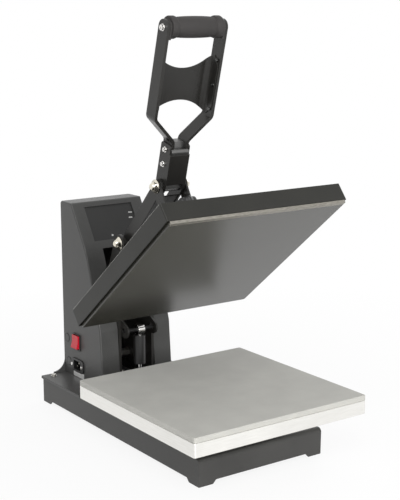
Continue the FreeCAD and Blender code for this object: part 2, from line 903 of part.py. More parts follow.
def make_arm_web():
    """The cross piece welded between the arm's plates, which carries the screw and steers the guide bars."""
    y_wide = platen_middle + web_wide_beyond
    z0 = web_bottom_height
    z1 = web_top_height
    wide = block(-arm_inside, arm_inside, arm_tip + web_front_inset, y_wide, z0, z1)
    narrow = block(-web_narrow_half, web_narrow_half, y_wide, platen_middle + web_narrow_beyond, z0, z1)
    web = wide.fuse(narrow).removeSplitter()
    tools = [post(0, platen_middle, z0 - past, z1 + past, screw_radius + running_gap)]
    tools += guide_bars(guide_bar_size / 2 + running_gap, z0 - past, z1 + past)
    return opened(cut_all(web, tools))


# The upper platen, in its closed place

def make_platen_cover():
    outer = platen_slab(cover_size, cover_bottom, cover_top, cover_corner)
    half = cover_size / 2 - cover_sheet
    inner = block(-half, half, platen_middle - half, platen_middle + half,
                  cover_bottom - past, cover_top - cover_sheet)
    return opened(outer.cut(inner))


def make_heat_plate():
    return opened(platen_slab(heat_plate_size, heat_bottom, heat_top, heat_plate_corner))


def make_heating_element():
    """One flat strip that runs to and fro over the plate."""
    half = element_width / 2
    reach = heat_plate_size / 2 - element_end_margin
    pitch = (heat_plate_size - 2 * element_side_margin) / (element_runs - 1)
    z0 = heat_top
    z1 = heat_top + element_height
    x = -heat_plate_size / 2 + element_side_margin
    strips = []
    side = 1
    for i in range(element_runs):
        strips.append(block(x - half, x + half, platen_middle - reach, platen_middle + reach, z0, z1))
        if i < element_runs - 1:
            y = platen_middle + side * (reach - half)
            strips.append(block(x - half, x + pitch + half, y - half, y + half, z0, z1))
        x += pitch
        side = -side
    return opened(strips[0].fuse(strips[1:]).removeSplitter())


def platen_post_places():
    return [(sx * post_spread, platen_middle + sy * post_spread) for sx in (-1, 1) for sy in (-1, 1)]


def square_posts(half, z0, z1):
    return [block(x - half, x + half, y - half, y + half, z0, z1) for x, y in platen_post_places()]


def make_insulation():
    half = cover_size / 2 - cover_sheet - mat_side_gap
    z0 = heat_top + element_height + soft_gap
    z1 = cover_top - cover_sheet - soft_gap
    mat = block(-half, half, platen_middle - half, platen_middle + half, z0, z1)
    return opened(cut_all(mat, square_posts(post_size / 2 + soft_gap, z0 - past, z1 + past)))


def make_platen_posts():
    """Four posts that carry the heat plate under the cover."""
    return opened(group(square_posts(post_size / 2, heat_top, cover_top - cover_sheet)))


def make_mount_plate():
    """The plate on the cover, with the swivel socket that the pressure screw's foot turns in."""
    plate = platen_slab(mount_plate_size, cover_top, mount_top, mount_plate_corner)
    half = swivel_size / 2
    boss = block(-half, half, platen_middle - half, platen_middle + half,
                 mount_top, mount_top + swivel_height)
    plate = plate.fuse(boss).removeSplitter()
    socket_low = mount_top + socket_floor
    socket = post(0, platen_middle, socket_low, socket_low + socket_height,
                  screw_radius + screw_foot_extra + running_gap)
    mouth = post(0, platen_middle, socket_low + socket_height / 2, mount_top + swivel_height + past,
                 screw_radius + running_gap)
    return opened(cut_all(plate, [socket, mouth]))


def make_guide_bars():
    """The bars that stand on the mount plate and keep the platen from turning with the screw."""
    return opened(group(guide_bars(guide_bar_size / 2, mount_top, web_top_height + guide_bar_above_web)))


# The pressure screw and its knob, in their closed place

def make_pressure_screw():
    foot_low = mount_top + socket_floor + running_gap
    foot_high = mount_top + socket_floor + socket_height - running_gap
    top = cover_top + knob_rise + screw_in_knob
    foot = post(0, platen_middle, foot_low, foot_high, screw_radius + screw_foot_extra - running_gap)
    thread = post(0, platen_middle, foot_low, top, screw_radius - running_gap)
    return opened(foot.fuse(thread).removeSplitter())


def lobed_outline(radius, depth, lobes, z):
    """A closed outline of flat-topped lobes with flutes between them."""
    step = 2 * math.pi / lobes
    corners = []
    for i in range(lobes):
        for r, share in ((radius - depth, -0.36), (radius, -0.2), (radius, 0.2), (radius - depth, 0.36)):
            a = (i + share) * step
            corners.append(Vec(r * math.cos(a), r * math.sin(a), z))
    return Part.Face(Part.makePolygon(corners + [corners[0]]))


def make_pressure_knob():
    z0 = cover_top + knob_rise
    grip = lobed_outline(knob_radius, knob_flute_depth, knob_lobes, z0 + knob_neck)
    body = grip.extrude(Vec(0, 0, knob_height - knob_neck))
    neck = Part.makeCylinder(knob_neck_radius, knob_neck, Vec(0, 0, z0))
    bore_radius = screw_radius - running_gap + press_fit
    bore = Part.makeCylinder(bore_radius, screw_in_knob + past, Vec(0, 0, z0 - past))
    knob = body.fuse(neck).removeSplitter().cut(bore)
    knob.translate(Vec(0, platen_middle, 0))
    return opened(knob)


# The handle, drawn upright over the knee

def handle_point(forward, up):
    """A place on the upright handle: forward of the knee and above it."""
    return (knee[0] - forward, knee[1] + up)


grip_middle = handle_point(0, grip_reach)
grip_half = handle_half_width - grip_cap_thickness
bracket_outside = bracket_inside + bracket_sheet
bracket_front = knee[0] - half_bar - bracket_side_margin
bracket_rear = knee[0] + half_bar + bracket_side_margin


def bent_bar():
    """The right handle bar as a flat strip bent twice."""
    x_neck = bracket_inside - bar_thickness / 2
    x_top = handle_half_width + bar_thickness / 2
    y, z = knee
    a = Vec(x_neck, y, z + bar_low)
    b = Vec(x_neck, y, z + neck_height)
    c = Vec(x_top, y, z + shoulder_height)
    d = Vec(x_top, y, z + grip_reach + half_bar)

    def corner(p, q, r):
        into = (q - p).normalize()
        out = (r - q).normalize()
        half = into.getAngle(out) / 2
        back = handle_bend * math.tan(half)
        start = q - into * back
        end = q + out * back
        inward = (out - into).normalize()
        middle = q + inward * (handle_bend / math.cos(half) - handle_bend)
        return start, middle, end

    s1, m1, e1 = corner(a, b, c)
    s2, m2, e2 = corner(b, c, d)
    edges = [Part.LineSegment(a, s1).toShape(), Part.Arc(s1, m1, e1).toShape(),
             Part.LineSegment(e1, s2).toShape(), Part.Arc(s2, m2, e2).toShape(),
             Part.LineSegment(e2, d).toShape()]
    t = bar_thickness / 2
    w = half_bar
    section = Part.makePolygon([Vec(a.x - t, y - w, a.z), Vec(a.x + t, y - w, a.z),
                                Vec(a.x + t, y + w, a.z), Vec(a.x - t, y + w, a.z),
                                Vec(a.x - t, y - w, a.z)])
    strip = Part.Wire(edges).makePipeShell([section], True, False)
    end_round = link_bar(knee, grip_middle, w, 0, x_top + t + past)
    return strip.common(end_round)


def bracket_bolt_holes(x0, x1):
    return [rod(x0, x1, handle_point(0, up), bracket_bolt_radius + hole_gap) for up in bracket_bolt_heights]


def make_handle_bars():
    outer = handle_half_width + bar_thickness
    tools = [rod(0, outer + past, grip_middle, grip_bolt_radius + hole_gap)]
    tools += bracket_bolt_holes(0, bracket_outside)
    return leaned(group(both_sides(cut_all(bent_bar(), tools))))


def make_handle_bracket():
    """A folded channel: two flanges round the knee and a web that folds back over its top."""
    x0 = bracket_inside
    x1 = bracket_outside
    z = knee[1]
    radius = half_bar + bracket_side_margin
    flange = link_bar(knee, handle_point(0, web_bottom + radius), radius, x0, x1)
    upper = block(x0, x1, bracket_front, bracket_rear, z + web_bottom, z + bracket_top)

    def upper_corner(edge):
        box = edge.BoundBox
        return box.YLength < 0.01 and box.ZLength < 0.01 and box.ZMin > z + web_top

    flange = flange.fuse(rounded(upper, bracket_corner, upper_corner))
    face = bracket_front - bracket_sheet
    fold = block(x0, x1, face, bracket_front, z + web_bottom, z + web_top)
    web = block(-x1, x1, face, bracket_front, z + web_bottom, z + web_top)
    bracket = web.fuse(both_sides(flange.fuse(fold))).removeSplitter()

    inner = bracket_inside - bar_thickness - side_gap
    lid = block(-inner, inner, bracket_front, knee[0] - half_bar + spacer_inset,
                z + web_top - bracket_sheet, z + web_top)

    def fold_edge(edge):
        box = edge.BoundBox
        along_x = box.YLength < 0.01 and box.ZLength < 0.01
        return along_x and box.YMin < face + 0.01 and box.ZMin > z + web_top - 0.01

    bracket = rounded(bracket.fuse(lid).removeSplitter(), web_fold_round, fold_edge)
    tools = [rod(-x1 - past, x1 + past, knee, pivot_pin_radius + running_gap)]
    return leaned(cut_all(bracket, tools + bracket_bolt_holes(-x1 - past, x1 + past)))


def make_handle_spacer():
    """The block between the two bars, which shows above the bracket's web."""
    half = bracket_inside - bar_thickness
    w = half_bar - spacer_inset
    y, z = knee
    outline = [(y - w, z + spacer_low), (y - w, z + web_top), (y - w + spacer_slope, z + spacer_high),
               (y + w, z + spacer_high), (y + w, z + spacer_low)]
    piece = plate_across(outline, -half, half)
    return leaned(cut_all(piece, bracket_bolt_holes(-half - past, half + past)))


def make_bracket_bolts():
    bolts = []
    for up in bracket_bolt_heights:
        y, z = handle_point(0, up)
        shank = rod(-bracket_outside, bracket_outside, (y, z), bracket_bolt_radius)
        nut = hexagon(bracket_nut_flats, bracket_nut_height)
        right = aim(nut, (bracket_outside, y, z), (1, 0, 0))
        left = aim(nut, (-bracket_outside, y, z), (-1, 0, 0))
        bolts.append(shank.fuse([right, left]).removeSplitter())
    return leaned(group(bolts))


def make_grip_core():
    """The hexagonal bar inside the grip, bored at its ends for the grip bolts."""
    core = hex_bar(grip_core_flats, grip_half, grip_middle)
    return leaned(core.cut(rod(-grip_half - past, grip_half + past, grip_middle, grip_bolt_radius)))


def make_grip_sleeve():
    """A moulded sleeve on the core: a barrel between two collars."""
    h = grip_half
    c = h - grip_collar_length
    barrel = rod(-h, h, grip_middle, grip_barrel_radius)
    collars = [rod(-h, -c, grip_middle, grip_collar_radius), rod(c, h, grip_middle, grip_collar_radius)]
    sleeve = barrel.fuse(collars).removeSplitter()
    return leaned(sleeve.cut(hex_bar(grip_core_flats, h + past, grip_middle)))


def make_grip_caps():
    """A moulded end cap on the inner face of each bar, round over the top and notched for the bolt."""
    w = half_bar + grip_cap_rim
    x0 = grip_half
    x1 = handle_half_width
    y, z = grip_middle
    cap = link_bar((y, z - 2 * w), grip_middle, w, x0, x1)
    low = block(x0 - past, x1 + past, y - 2 * w, y + 2 * w, z - 4 * w, z - grip_cap_low)
    reach = grip_bolt_radius + hole_gap
    notch = block(x0 - past, x1 + past, y - reach, y + reach, z - 2 * w, z + reach)
    return leaned(group(both_sides(cut_all(cap, [low, notch]))))


def make_grip_bolts():
    """Bolts through the bars into the ends of the grip core."""
    head = Part.makeCylinder(grip_head_radius, grip_head_height)
    shank = Part.makeCylinder(grip_bolt_radius - press_fit, grip_bolt_length, Vec(0, 0, -grip_bolt_length))
    bolt = head.fuse(shank).removeSplitter()
    outer = handle_half_width + bar_thickness
    y, z = grip_middle
    return leaned(group([aim(bolt, (outer, y, z), (1, 0, 0)), aim(bolt, (-outer, y, z), (-1, 0, 0))]))


def make_shield():
    """A hand guard bent to a U between the bars, with a hollowed top and bottom edge."""
    x = handle_half_width
    s = shield_sheet
    y_back = knee[0] + half_bar - shield_back_inset
    y_front = knee[0] - half_bar + shield_front_inset
    z = knee[1]
    low = z + shield_bottom_side
    high = z + shield_top_side

    def rear_corner(edge):
        return upright(edge) and edge.BoundBox.Center.y > knee[0]

    outer = rounded(block(-x, x, y_front, y_back, low, high), shield_bend, rear_corner)
    inner = block(-x + s, x - s, y_front - past, y_back - s, low - past, high + past)
    channel = outer.cut(rounded(inner, shield_bend - s, rear_corner))
    y = y_front - past
    top = Part.Arc(Vec(-x, y, high), Vec(0, y, z + shield_top_mid), Vec(x, y, high)).toShape()
    bottom = Part.Arc(Vec(-x, y, low), Vec(0, y, z + shield_bottom_mid), Vec(x, y, low)).toShape()
    right = Part.LineSegment(Vec(x, y, high), Vec(x, y, low)).toShape()
    left = Part.LineSegment(Vec(-x, y, low), Vec(-x, y, high)).toShape()
    outline = Part.Wire(Part.__sortEdges__([top, right, bottom, left]))
    shield = channel.common(Part.Face(outline).extrude(Vec(0, y_back - y + past, 0)))
    tools = []
    for edge_z, sign in ((high, 1), (low, -1)):
        points = [(y, edge_z - sign * shield_slant), (y + shield_slant, edge_z + sign * past),
                  (y, edge_z + sign * past)]
        tools.append(plate_across(points, -x - past, x + past))
    return leaned(cut_all(shield, tools))


def make_lever_bars():
    x0 = lever_bar_inside
    x1 = lever_bar_outside
    bar = link_bar(lever_pivot, knee, lever_bar_radius, x0, x1)
    tools = [rod(x0 - past, x1 + past, place, pivot_pin_radius + running_gap)
             for place in (lever_pivot, knee)]
    return group(both_sides(cut_all(bar, tools)))


knee_nut_face = link_outside + side_gap


def make_knee_bolt():
    return rod(-knee_nut_face, knee_nut_face, knee, pivot_pin_radius)


def make_knee_nuts():
    return nut_pair(knee, knee_nut_face)


def make_knee_spacer():
    bar = hex_bar(knee_spacer_flats, bracket_inside, knee)
    return bar.cut(rod(-bracket_outside, bracket_outside, knee, pivot_pin_radius + running_gap))


def make_toggle_links():
    """Two links, each with a riveted pin that reaches out through the slot in the platen arm."""
    x0 = link_inside
    bar = link_bar(knee, link_foot, link_end_radius, x0, link_outside)
    pin = rod(x0, arm_outside + link_pin_end, link_foot, link_pin_radius)
    link = bar.fuse(pin).removeSplitter()
    bore = rod(x0 - past, link_outside + past, knee, pivot_pin_radius + running_gap)
    return group(both_sides(link.cut(bore)))


def make_spring_bracket():
    """A clevis on the floor plate, with the riveted pin for the foot of the gas spring."""
    y, z = spring_foot
    half = clevis_base_half
    r = clevis_ear_radius
    base = block(-half, half, y + past, y + past + clevis_base_depth,
                 floor_top, floor_top + clevis_base_thickness)
    ear = link_bar((y, z - 2 * r), (y, z), r, clevis_half, clevis_half + clevis_ear)
    below = block(0, half, y - 2 * r, y + 2 * r, z - 4 * r, floor_top)
    reach = clevis_half + clevis_ear + spring_pin_end
    pin = rod(-reach, reach, spring_foot, spring_pin_radius)
    return base.fuse(both_sides(ear.cut(below)) + [pin]).removeSplitter()


def make_spring_rod():
    y, z = spring_foot
    eye = rod(-spring_eye_half, spring_eye_half, spring_foot, spring_eye_radius)
    top = z + spring_reach_shut - spring_neck - spring_tube_end - past
    stem = post(0, y, z, top, spring_rod_radius)
    bore = rod(-spring_eye_half - past, spring_eye_half + past, spring_foot, spring_pin_radius + running_gap)
    return eye.fuse(stem).removeSplitter().cut(bore)


def make_spring_tube():
    low = spring_tube_top - spring_tube_length
    body = post(0, spring_stud[0], low, spring_tube_top, spring_tube_radius)
    bore_top = spring_tube_top - spring_tube_end
    return body.cut(post(0, spring_stud[0], low - past, bore_top, spring_rod_radius + running_gap))


def make_spring_eye():
    """The bright end fitting: a neck and a knuckle, with the stud that runs out to the arm's lugs."""
    y, z = spring_stud
    neck = post(0, y, spring_tube_top, z, spring_neck_radius)
    knuckle = rod(-spring_knuckle_half, spring_knuckle_half, spring_stud, spring_knuckle_radius)
    stud = rod(-arm_outside, arm_outside, spring_stud, spring_pin_radius)
    return neck.fuse([knuckle, stud]).removeSplitter()


parts = {
    "base_tray": make_base_tray,
    "column_floor_plate": make_floor_plate,
    "pedestal": make_pedestal,
    "lower_plate": make_lower_plate,
    "silicone_pad": make_pad,
    "column_side_plates": make_column_plates,
    "column_spacers": make_column_spacers,
    "hinge_shaft": make_hinge_shaft,
    "lever_pivot_bolt": make_lever_pivot_bolt,
    "lever_pivot_nuts": make_lever_pivot_nuts,
    "column_housing": make_housing,
    "rear_panel": make_rear_panel,
    "console_panel": make_console_panel,
    "control_board": make_control_board,
    "solid_state_relay": make_solid_state_relay,
    "power_inlet": make_power_inlet,
    "inlet_pins": make_inlet_pins,
    "switch_bezel": make_switch_bezel,
    "switch_rocker": make_switch_rocker,
    "arm_side_plates": make_arm_plates,
    "arm_web": make_arm_web,
    "platen_cover": make_platen_cover,
    "heat_plate": make_heat_plate,
    "heating_element": make_heating_element,
    "insulation_mat": make_insulation,
    "platen_posts": make_platen_posts,
    "platen_mount_plate": make_mount_plate,
    "guide_bars": make_guide_bars,
    "pressure_screw": make_pressure_screw,
    "pressure_knob": make_pressure_knob,
    "handle_bars": make_handle_bars,
    "handle_bracket": make_handle_bracket,
    "handle_spacer": make_handle_spacer,
    "bracket_bolts": make_bracket_bolts,
    "grip_core": make_grip_core,
    "grip_sleeve": make_grip_sleeve,
    "grip_end_caps": make_grip_caps,
    "grip_bolts": make_grip_bolts,
    "hand_shield": make_shield,
    "lever_bars": make_lever_bars,
    "knee_bolt": make_knee_bolt,
    "knee_nuts": make_knee_nuts,
    "knee_spacer": make_knee_spacer,
    "toggle_links": make_toggle_links,
    "spring_bracket": make_spring_bracket,
    "spring_rod": make_spring_rod,
    "spring_tube": make_spring_tube,
    "spring_eye": make_spring_eye,
}

os.makedirs("parts", exist_ok=True)
for name, make in parts.items():
    shape = make()
    if not shape.isValid():
        print("not valid:", name)
    shape.exportStep("parts/" + name + ".step")
    box = shape.BoundBox
    print(f"{name:22s} solids {len(shape.Solids):2d} volume {shape.Volume:11.1f} "
          f"x {box.XMin:7.1f} {box.XMax:7.1f} y {box.YMin:7.1f} {box.YMax:7.1f} z {box.ZMin:6.1f} {box.ZMax:6.1f}")

mid = foot_stray(0.5)
print("link foot strays", round(distance(link_foot, mid), 2), "of slot", round(bearing(link_foot, mid), 1))
print("lever swing", round(lever_swing, 3), "link swing", round(link_swing, 3))
print("spring swing", round(spring_swing, 3), "stroke", round(spring_stroke, 3),
      "stray", round(distance(spring_stud, stud_stray(0.5)), 3))
print("pivots hinge", hinge, "knee", knee, "lever pivot", lever_pivot, "link foot", link_foot,
      "spring foot", spring_foot, "spring stud", spring_stud)
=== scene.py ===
import json
import math

import bmesh
import bpy
from mathutils import Matrix, Vector


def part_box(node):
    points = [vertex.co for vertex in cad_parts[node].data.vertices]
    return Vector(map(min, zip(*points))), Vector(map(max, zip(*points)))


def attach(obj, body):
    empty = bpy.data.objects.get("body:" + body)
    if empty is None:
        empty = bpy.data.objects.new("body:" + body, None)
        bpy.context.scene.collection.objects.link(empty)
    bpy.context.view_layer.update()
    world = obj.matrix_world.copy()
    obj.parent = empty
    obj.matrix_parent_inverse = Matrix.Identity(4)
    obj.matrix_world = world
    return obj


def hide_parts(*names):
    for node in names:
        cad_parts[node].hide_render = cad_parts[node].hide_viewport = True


# The looks of a clamshell heat press that stands open. Metres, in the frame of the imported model.

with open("model.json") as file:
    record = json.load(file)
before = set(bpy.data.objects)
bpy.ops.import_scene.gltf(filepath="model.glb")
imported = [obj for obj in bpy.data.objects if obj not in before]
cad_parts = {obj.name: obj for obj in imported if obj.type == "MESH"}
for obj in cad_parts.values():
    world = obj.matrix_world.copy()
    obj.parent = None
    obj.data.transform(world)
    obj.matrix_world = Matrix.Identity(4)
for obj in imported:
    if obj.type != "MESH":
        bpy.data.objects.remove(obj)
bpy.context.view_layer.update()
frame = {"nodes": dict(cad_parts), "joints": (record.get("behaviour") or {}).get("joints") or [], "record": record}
nodes = frame["nodes"]
bodyOf = {node: body for body, names in frame["record"]["behaviour"]["bodies"].items() for node in names}
slotOf = {row["node"]: row["material_slot"] for row in frame["record"]["subparts"]}
joints = {joint["name"]: joint for joint in frame["joints"]}
liftAxis = Vector(joints["platen_lift"]["axis"])
knee = Vector(joints["knee_hinge"]["pos_m"])
leverPivot = Vector(joints["handle_hinge"]["pos_m"])
across = Vector((1, 0, 0))
print("frame loaded", len(nodes), "nodes")


# Materials

def nodeTree(name):
    material = bpy.data.materials.new(name)
    material.use_nodes = True
    tree = material.node_tree
    tree.nodes.clear()
    shader = tree.nodes.new("ShaderNodeBsdfPrincipled")
    output = tree.nodes.new("ShaderNodeOutputMaterial")
    tree.links.new(shader.outputs["BSDF"], output.inputs["Surface"])
    return material, tree, shader


def patternNoise(tree, scale, detail=4.0, stretch=(1, 1, 1), roughness=0.55):
    place = tree.nodes.new("ShaderNodeTexCoord")
    mapping = tree.nodes.new("ShaderNodeMapping")
    mapping.inputs["Scale"].default_value = stretch
    noise = tree.nodes.new("ShaderNodeTexNoise")
    noise.inputs["Scale"].default_value = scale
    noise.inputs["Detail"].default_value = detail
    noise.inputs["Roughness"].default_value = roughness
    tree.links.new(place.outputs["Object"], mapping.inputs["Vector"])
    tree.links.new(mapping.outputs["Vector"], noise.inputs["Vector"])
    return noise.outputs["Fac"]


def patternCells(tree, scale):
    place = tree.nodes.new("ShaderNodeTexCoord")
    cells = tree.nodes.new("ShaderNodeTexVoronoi")
    cells.inputs["Scale"].default_value = scale
    tree.links.new(place.outputs["Object"], cells.inputs["Vector"])
    return cells.outputs["Distance"]


def between(tree, factor, low, high, fromLow=0.3, fromHigh=0.7):
    spread = tree.nodes.new("ShaderNodeMapRange")
    spread.inputs["From Min"].default_value = fromLow
    spread.inputs["From Max"].default_value = fromHigh
    spread.inputs["To Min"].default_value = low
    spread.inputs["To Max"].default_value = high
    tree.links.new(factor, spread.inputs["Value"])
    return spread.outputs["Result"]


def tint(tree, factor, dark, light, fromLow=0.3, fromHigh=0.7):
    ramp = tree.nodes.new("ShaderNodeValToRGB")
    ramp.color_ramp.elements[0].position = fromLow
    ramp.color_ramp.elements[1].position = fromHigh
    ramp.color_ramp.elements[0].color = (*dark, 1)
    ramp.color_ramp.elements[1].color = (*light, 1)
    tree.links.new(factor, ramp.inputs["Fac"])
    return ramp.outputs["Color"]


def bump(tree, shader, height, strength, distance, under=None):
    node = tree.nodes.new("ShaderNodeBump")
    node.inputs["Strength"].default_value = strength
    node.inputs["Distance"].default_value = distance
    tree.links.new(height, node.inputs["Height"])
    if under is not None:
        tree.links.new(under, node.inputs["Normal"])
    tree.links.new(node.outputs["Normal"], shader.inputs["Normal"])
    return node.outputs["Normal"]


def powderCoat(name, dark, light, roughLow=0.36, roughHigh=0.5, peel=0.25, pebble=0.0):
    material, tree, shader = nodeTree(name)
    clouds = patternNoise(tree, 9.0, 5.0)
    grain = patternNoise(tree, 1400.0, 2.0)
    peelWaves = patternNoise(tree, 420.0, 2.0)
    tree.links.new(tint(tree, clouds, dark, light), shader.inputs["Base Color"])
    tree.links.new(between(tree, clouds, roughLow, roughHigh), shader.inputs["Roughness"])
    under = bump(tree, shader, peelWaves, peel, 0.00025)
    if pebble:
        under = bump(tree, shader, patternCells(tree, 620.0), pebble, 0.0003, under)
    bump(tree, shader, grain, peel * 0.6, 0.0001, under)
    shader.inputs["Specular IOR Level"].default_value = 0.34
    return material


def brushedMetal(name, dark, light, roughLow, roughHigh, stretch=(1, 1, 60), scale=60.0, strength=0.12):
    material, tree, shader = nodeTree(name)
    streaks = patternNoise(tree, scale, 4.0, stretch)
    clouds = patternNoise(tree, 14.0, 4.0)
    tree.links.new(tint(tree, streaks, dark, light), shader.inputs["Base Color"])
    tree.links.new(between(tree, clouds, roughLow, roughHigh), shader.inputs["Roughness"])
    bump(tree, shader, streaks, strength, 0.00008)
    shader.inputs["Metallic"].default_value = 1.0
    return material


def mouldedPlastic(name, dark, light, roughLow, roughHigh, grainScale=1800.0, strength=0.15):
    material, tree, shader = nodeTree(name)
    clouds = patternNoise(tree, 30.0, 4.0)
    grain = patternNoise(tree, grainScale, 2.0)
    tree.links.new(tint(tree, clouds, dark, light), shader.inputs["Base Color"])
    tree.links.new(between(tree, clouds, roughLow, roughHigh), shader.inputs["Roughness"])
    bump(tree, shader, grain, strength, 0.00012)
    return material


def spongeSkin(name):
    material, tree, shader = nodeTree(name)
    clouds = patternNoise(tree, 16.0, 6.0)
    mottle = patternNoise(tree, 240.0, 4.0)
    pores = patternNoise(tree, 900.0, 3.0)
    tree.links.new(tint(tree, clouds, (0.42, 0.415, 0.385), (0.47, 0.465, 0.43)), shader.inputs["Base Color"])
    tree.links.new(between(tree, pores, 0.72, 0.9), shader.inputs["Roughness"])
    under = bump(tree, shader, pores, 0.4, 0.0003)
    under = bump(tree, shader, patternCells(tree, 1500.0), 0.3, 0.0002, under)
    bump(tree, shader, mottle, 0.12, 0.0004, under)
    shader.inputs["Sheen Weight"].default_value = 0.15
    return material


def coatedPlate(name):
    material, tree, shader = nodeTree(name)
    clouds = patternNoise(tree, 5.0, 5.0)
    haze = patternNoise(tree, 60.0, 5.0, (1, 9, 9))
    fine = patternNoise(tree, 2200.0, 2.0)
    tree.links.new(tint(tree, clouds, (0.027, 0.026, 0.021), (0.035, 0.034, 0.028)), shader.inputs["Base Color"])
    tree.links.new(between(tree, haze, 0.19, 0.27), shader.inputs["Roughness"])
    under = bump(tree, shader, haze, 0.06, 0.0002)
    bump(tree, shader, fine, 0.06, 0.0001, under)
    shader.inputs["Specular IOR Level"].default_value = 0.62
    return material


finishes = {
    "base_paint": powderCoat("basePaint", (0.040, 0.0395, 0.0375), (0.054, 0.053, 0.0505), 0.3, 0.42, 0.28),
    "housing_paint": powderCoat("housingPaint", (0.050, 0.050, 0.0485), (0.070, 0.070, 0.068), 0.28, 0.42, 0.22, 0.6),
    "mechanism_paint": powderCoat("mechanismPaint", (0.0165, 0.016, 0.0145), (0.0245, 0.0235, 0.0215), 0.24, 0.35, 0.08),
    "bright_steel": brushedMetal("brightSteel", (0.50, 0.49, 0.46), (0.66, 0.64, 0.60), 0.24, 0.38),
    "chrome": brushedMetal("chromePlate", (0.72, 0.71, 0.69), (0.82, 0.81, 0.79), 0.06, 0.16, strength=0.03),
    "cast_aluminium": brushedMetal("machinedAluminium", (0.80, 0.79, 0.755), (0.89, 0.88, 0.85), 0.36, 0.5,
                                   (1, 1, 40), 40.0),
    "heat_plate_coat": coatedPlate("plateCoating"),
    "silicone": spongeSkin("siliconeSponge"),
    "grip_rubber": mouldedPlastic("gripRubber", (0.020, 0.018, 0.017), (0.032, 0.029, 0.028), 0.6, 0.78, 900.0, 0.45),
    "mat_wool": mouldedPlastic("matWool", (0.66, 0.65, 0.6), (0.8, 0.78, 0.74), 0.85, 0.95, 300.0, 0.9),
    "console_plastic": mouldedPlastic("consoleFilm", (0.006, 0.006, 0.0056), (0.010, 0.010, 0.0094), 0.5, 0.62, 500.0, 0.3),
    "black_plastic": mouldedPlastic("blackPlastic", (0.010, 0.010, 0.010), (0.018, 0.018, 0.018), 0.32, 0.46),
    "red_plastic": mouldedPlastic("redRocker", (0.48, 0.006, 0.018), (0.60, 0.012, 0.03), 0.1, 0.18, 900.0, 0.03),
    "board": mouldedPlastic("greenBoard", (0.012, 0.10, 0.04), (0.02, 0.14, 0.06), 0.3, 0.42),
    "pin_brass": brushedMetal("pinNickel", (0.46, 0.44, 0.40), (0.60, 0.58, 0.52), 0.2, 0.32),
}
plateEdge = brushedMetal("plateEdge", (0.20, 0.19, 0.165), (0.42, 0.40, 0.355), 0.36, 0.5, (6, 60, 60), 22.0)
coverPaint = powderCoat("coverPaint", (0.0105, 0.0104, 0.0082), (0.0150, 0.0148, 0.0118), 0.32, 0.44)
# bright steel for the thin rods on the cover's upper edges: a painted highlight
highlightSteel = brushedMetal("highlightSteel", (0.50, 0.50, 0.47), (0.64, 0.63, 0.60), 0.3, 0.42, strength=0.03)
# satin steel for the spacers; on the bracket's rolled edge the same finish is a painted highlight
satinSteelAndHighlight = brushedMetal("satinSteelAndHighlight", (0.14, 0.14, 0.137), (0.21, 0.21, 0.205), 0.32, 0.42, strength=0.04)
warmNickel = brushedMetal("warmNickel", (0.70, 0.66, 0.56), (0.80, 0.76, 0.66), 0.12, 0.24, strength=0.04)
darkSteel = brushedMetal("darkSteel", (0.10, 0.10, 0.10), (0.16, 0.16, 0.155), 0.3, 0.42, strength=0.05)
paperLabel = brushedMetal("blankLabel", (0.95, 0.95, 0.94), (0.99, 0.99, 0.98), 0.38, 0.5, (1, 1, 1), 90.0, 0.02)
printWhite = mouldedPlastic("printWhite", (0.55, 0.55, 0.54), (0.66, 0.66, 0.64), 0.45, 0.55)
# black oxide darkened further: real finish plus painted shade of the channel it sits in
blackOxideAndShade = powderCoat("blackOxideAndShade", (0.004, 0.004, 0.004), (0.007, 0.007, 0.007), 0.5, 0.65, 0.05)
plugRing = mouldedPlastic("plugRing", (0.004, 0.004, 0.004), (0.008, 0.008, 0.008), 0.6, 0.75)
print("materials made", len(bpy.data.materials))


# Making and finishing a piece

def seat(piece, body, slotName, *replaced):
    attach(piece, body)
    if replaced:
        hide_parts(*replaced)
    return piece


def addPiece(name, mesh, *materials):
    piece = bpy.data.objects.new(name, mesh)
    bpy.context.scene.collection.objects.link(piece)
    for material in materials:
        mesh.materials.append(material)
    return piece


def softenEdges(piece, width, angle=32.0, segments=2):
    modifier = piece.modifiers.new("edgeRound", "BEVEL")
    modifier.width = width
    modifier.segments = segments
    modifier.limit_method = "ANGLE"
    modifier.angle_limit = math.radians(angle)
    modifier.use_clamp_overlap = True
    return modifier


def roundMain(piece, radius, leastArea=0.002, leastAngle=12.0):
    work = bmesh.new()
    work.from_mesh(piece.data)
    weight = work.edges.layers.float.new("bevel_weight_edge")
    for edge in work.edges:
        if len(edge.link_faces) == 2 and edge.is_convex and edge.calc_face_angle() > math.radians(leastAngle):
            if min(face.calc_area() for face in edge.link_faces) > leastArea:
                edge[weight] = 1.0
    work.to_mesh(piece.data)
    work.free()
    modifier = piece.modifiers.new("mainRound", "BEVEL")
    modifier.width = radius
    modifier.segments = 4
    modifier.limit_method = "WEIGHT"
    modifier.use_clamp_overlap = False
    return applied(piece)


def applied(piece):
    bpy.context.view_layer.update()
    evaluated = piece.evaluated_get(bpy.context.evaluated_depsgraph_get())
    mesh = bpy.data.meshes.new_from_object(evaluated)
    piece.modifiers.clear()
    old = piece.data
    piece.data = mesh
    bpy.data.meshes.remove(old)
    return piece


def smoothed(piece, angle=40.0):
    piece.data.polygons.foreach_set("use_smooth", [True] * len(piece.data.polygons))
    piece.data.set_sharp_from_angle(angle=math.radians(angle))
    flat = piece.modifiers.new("flatFaces", "WEIGHTED_NORMAL")  # large faces stay flat, round edges catch light
    flat.keep_sharp = True
    flat.weight = 60
    return applied(piece)


def mergedCopy(node):
    mesh = nodes[node].data.copy()
    work = bmesh.new()
    work.from_mesh(mesh)
    bmesh.ops.remove_doubles(work, verts=work.verts, dist=1e-6)
    bmesh.ops.dissolve_limit(work, angle_limit=math.radians(0.2), verts=work.verts, edges=work.edges)
    work.to_mesh(mesh)
    work.free()
    mesh.materials.clear()
    return mesh


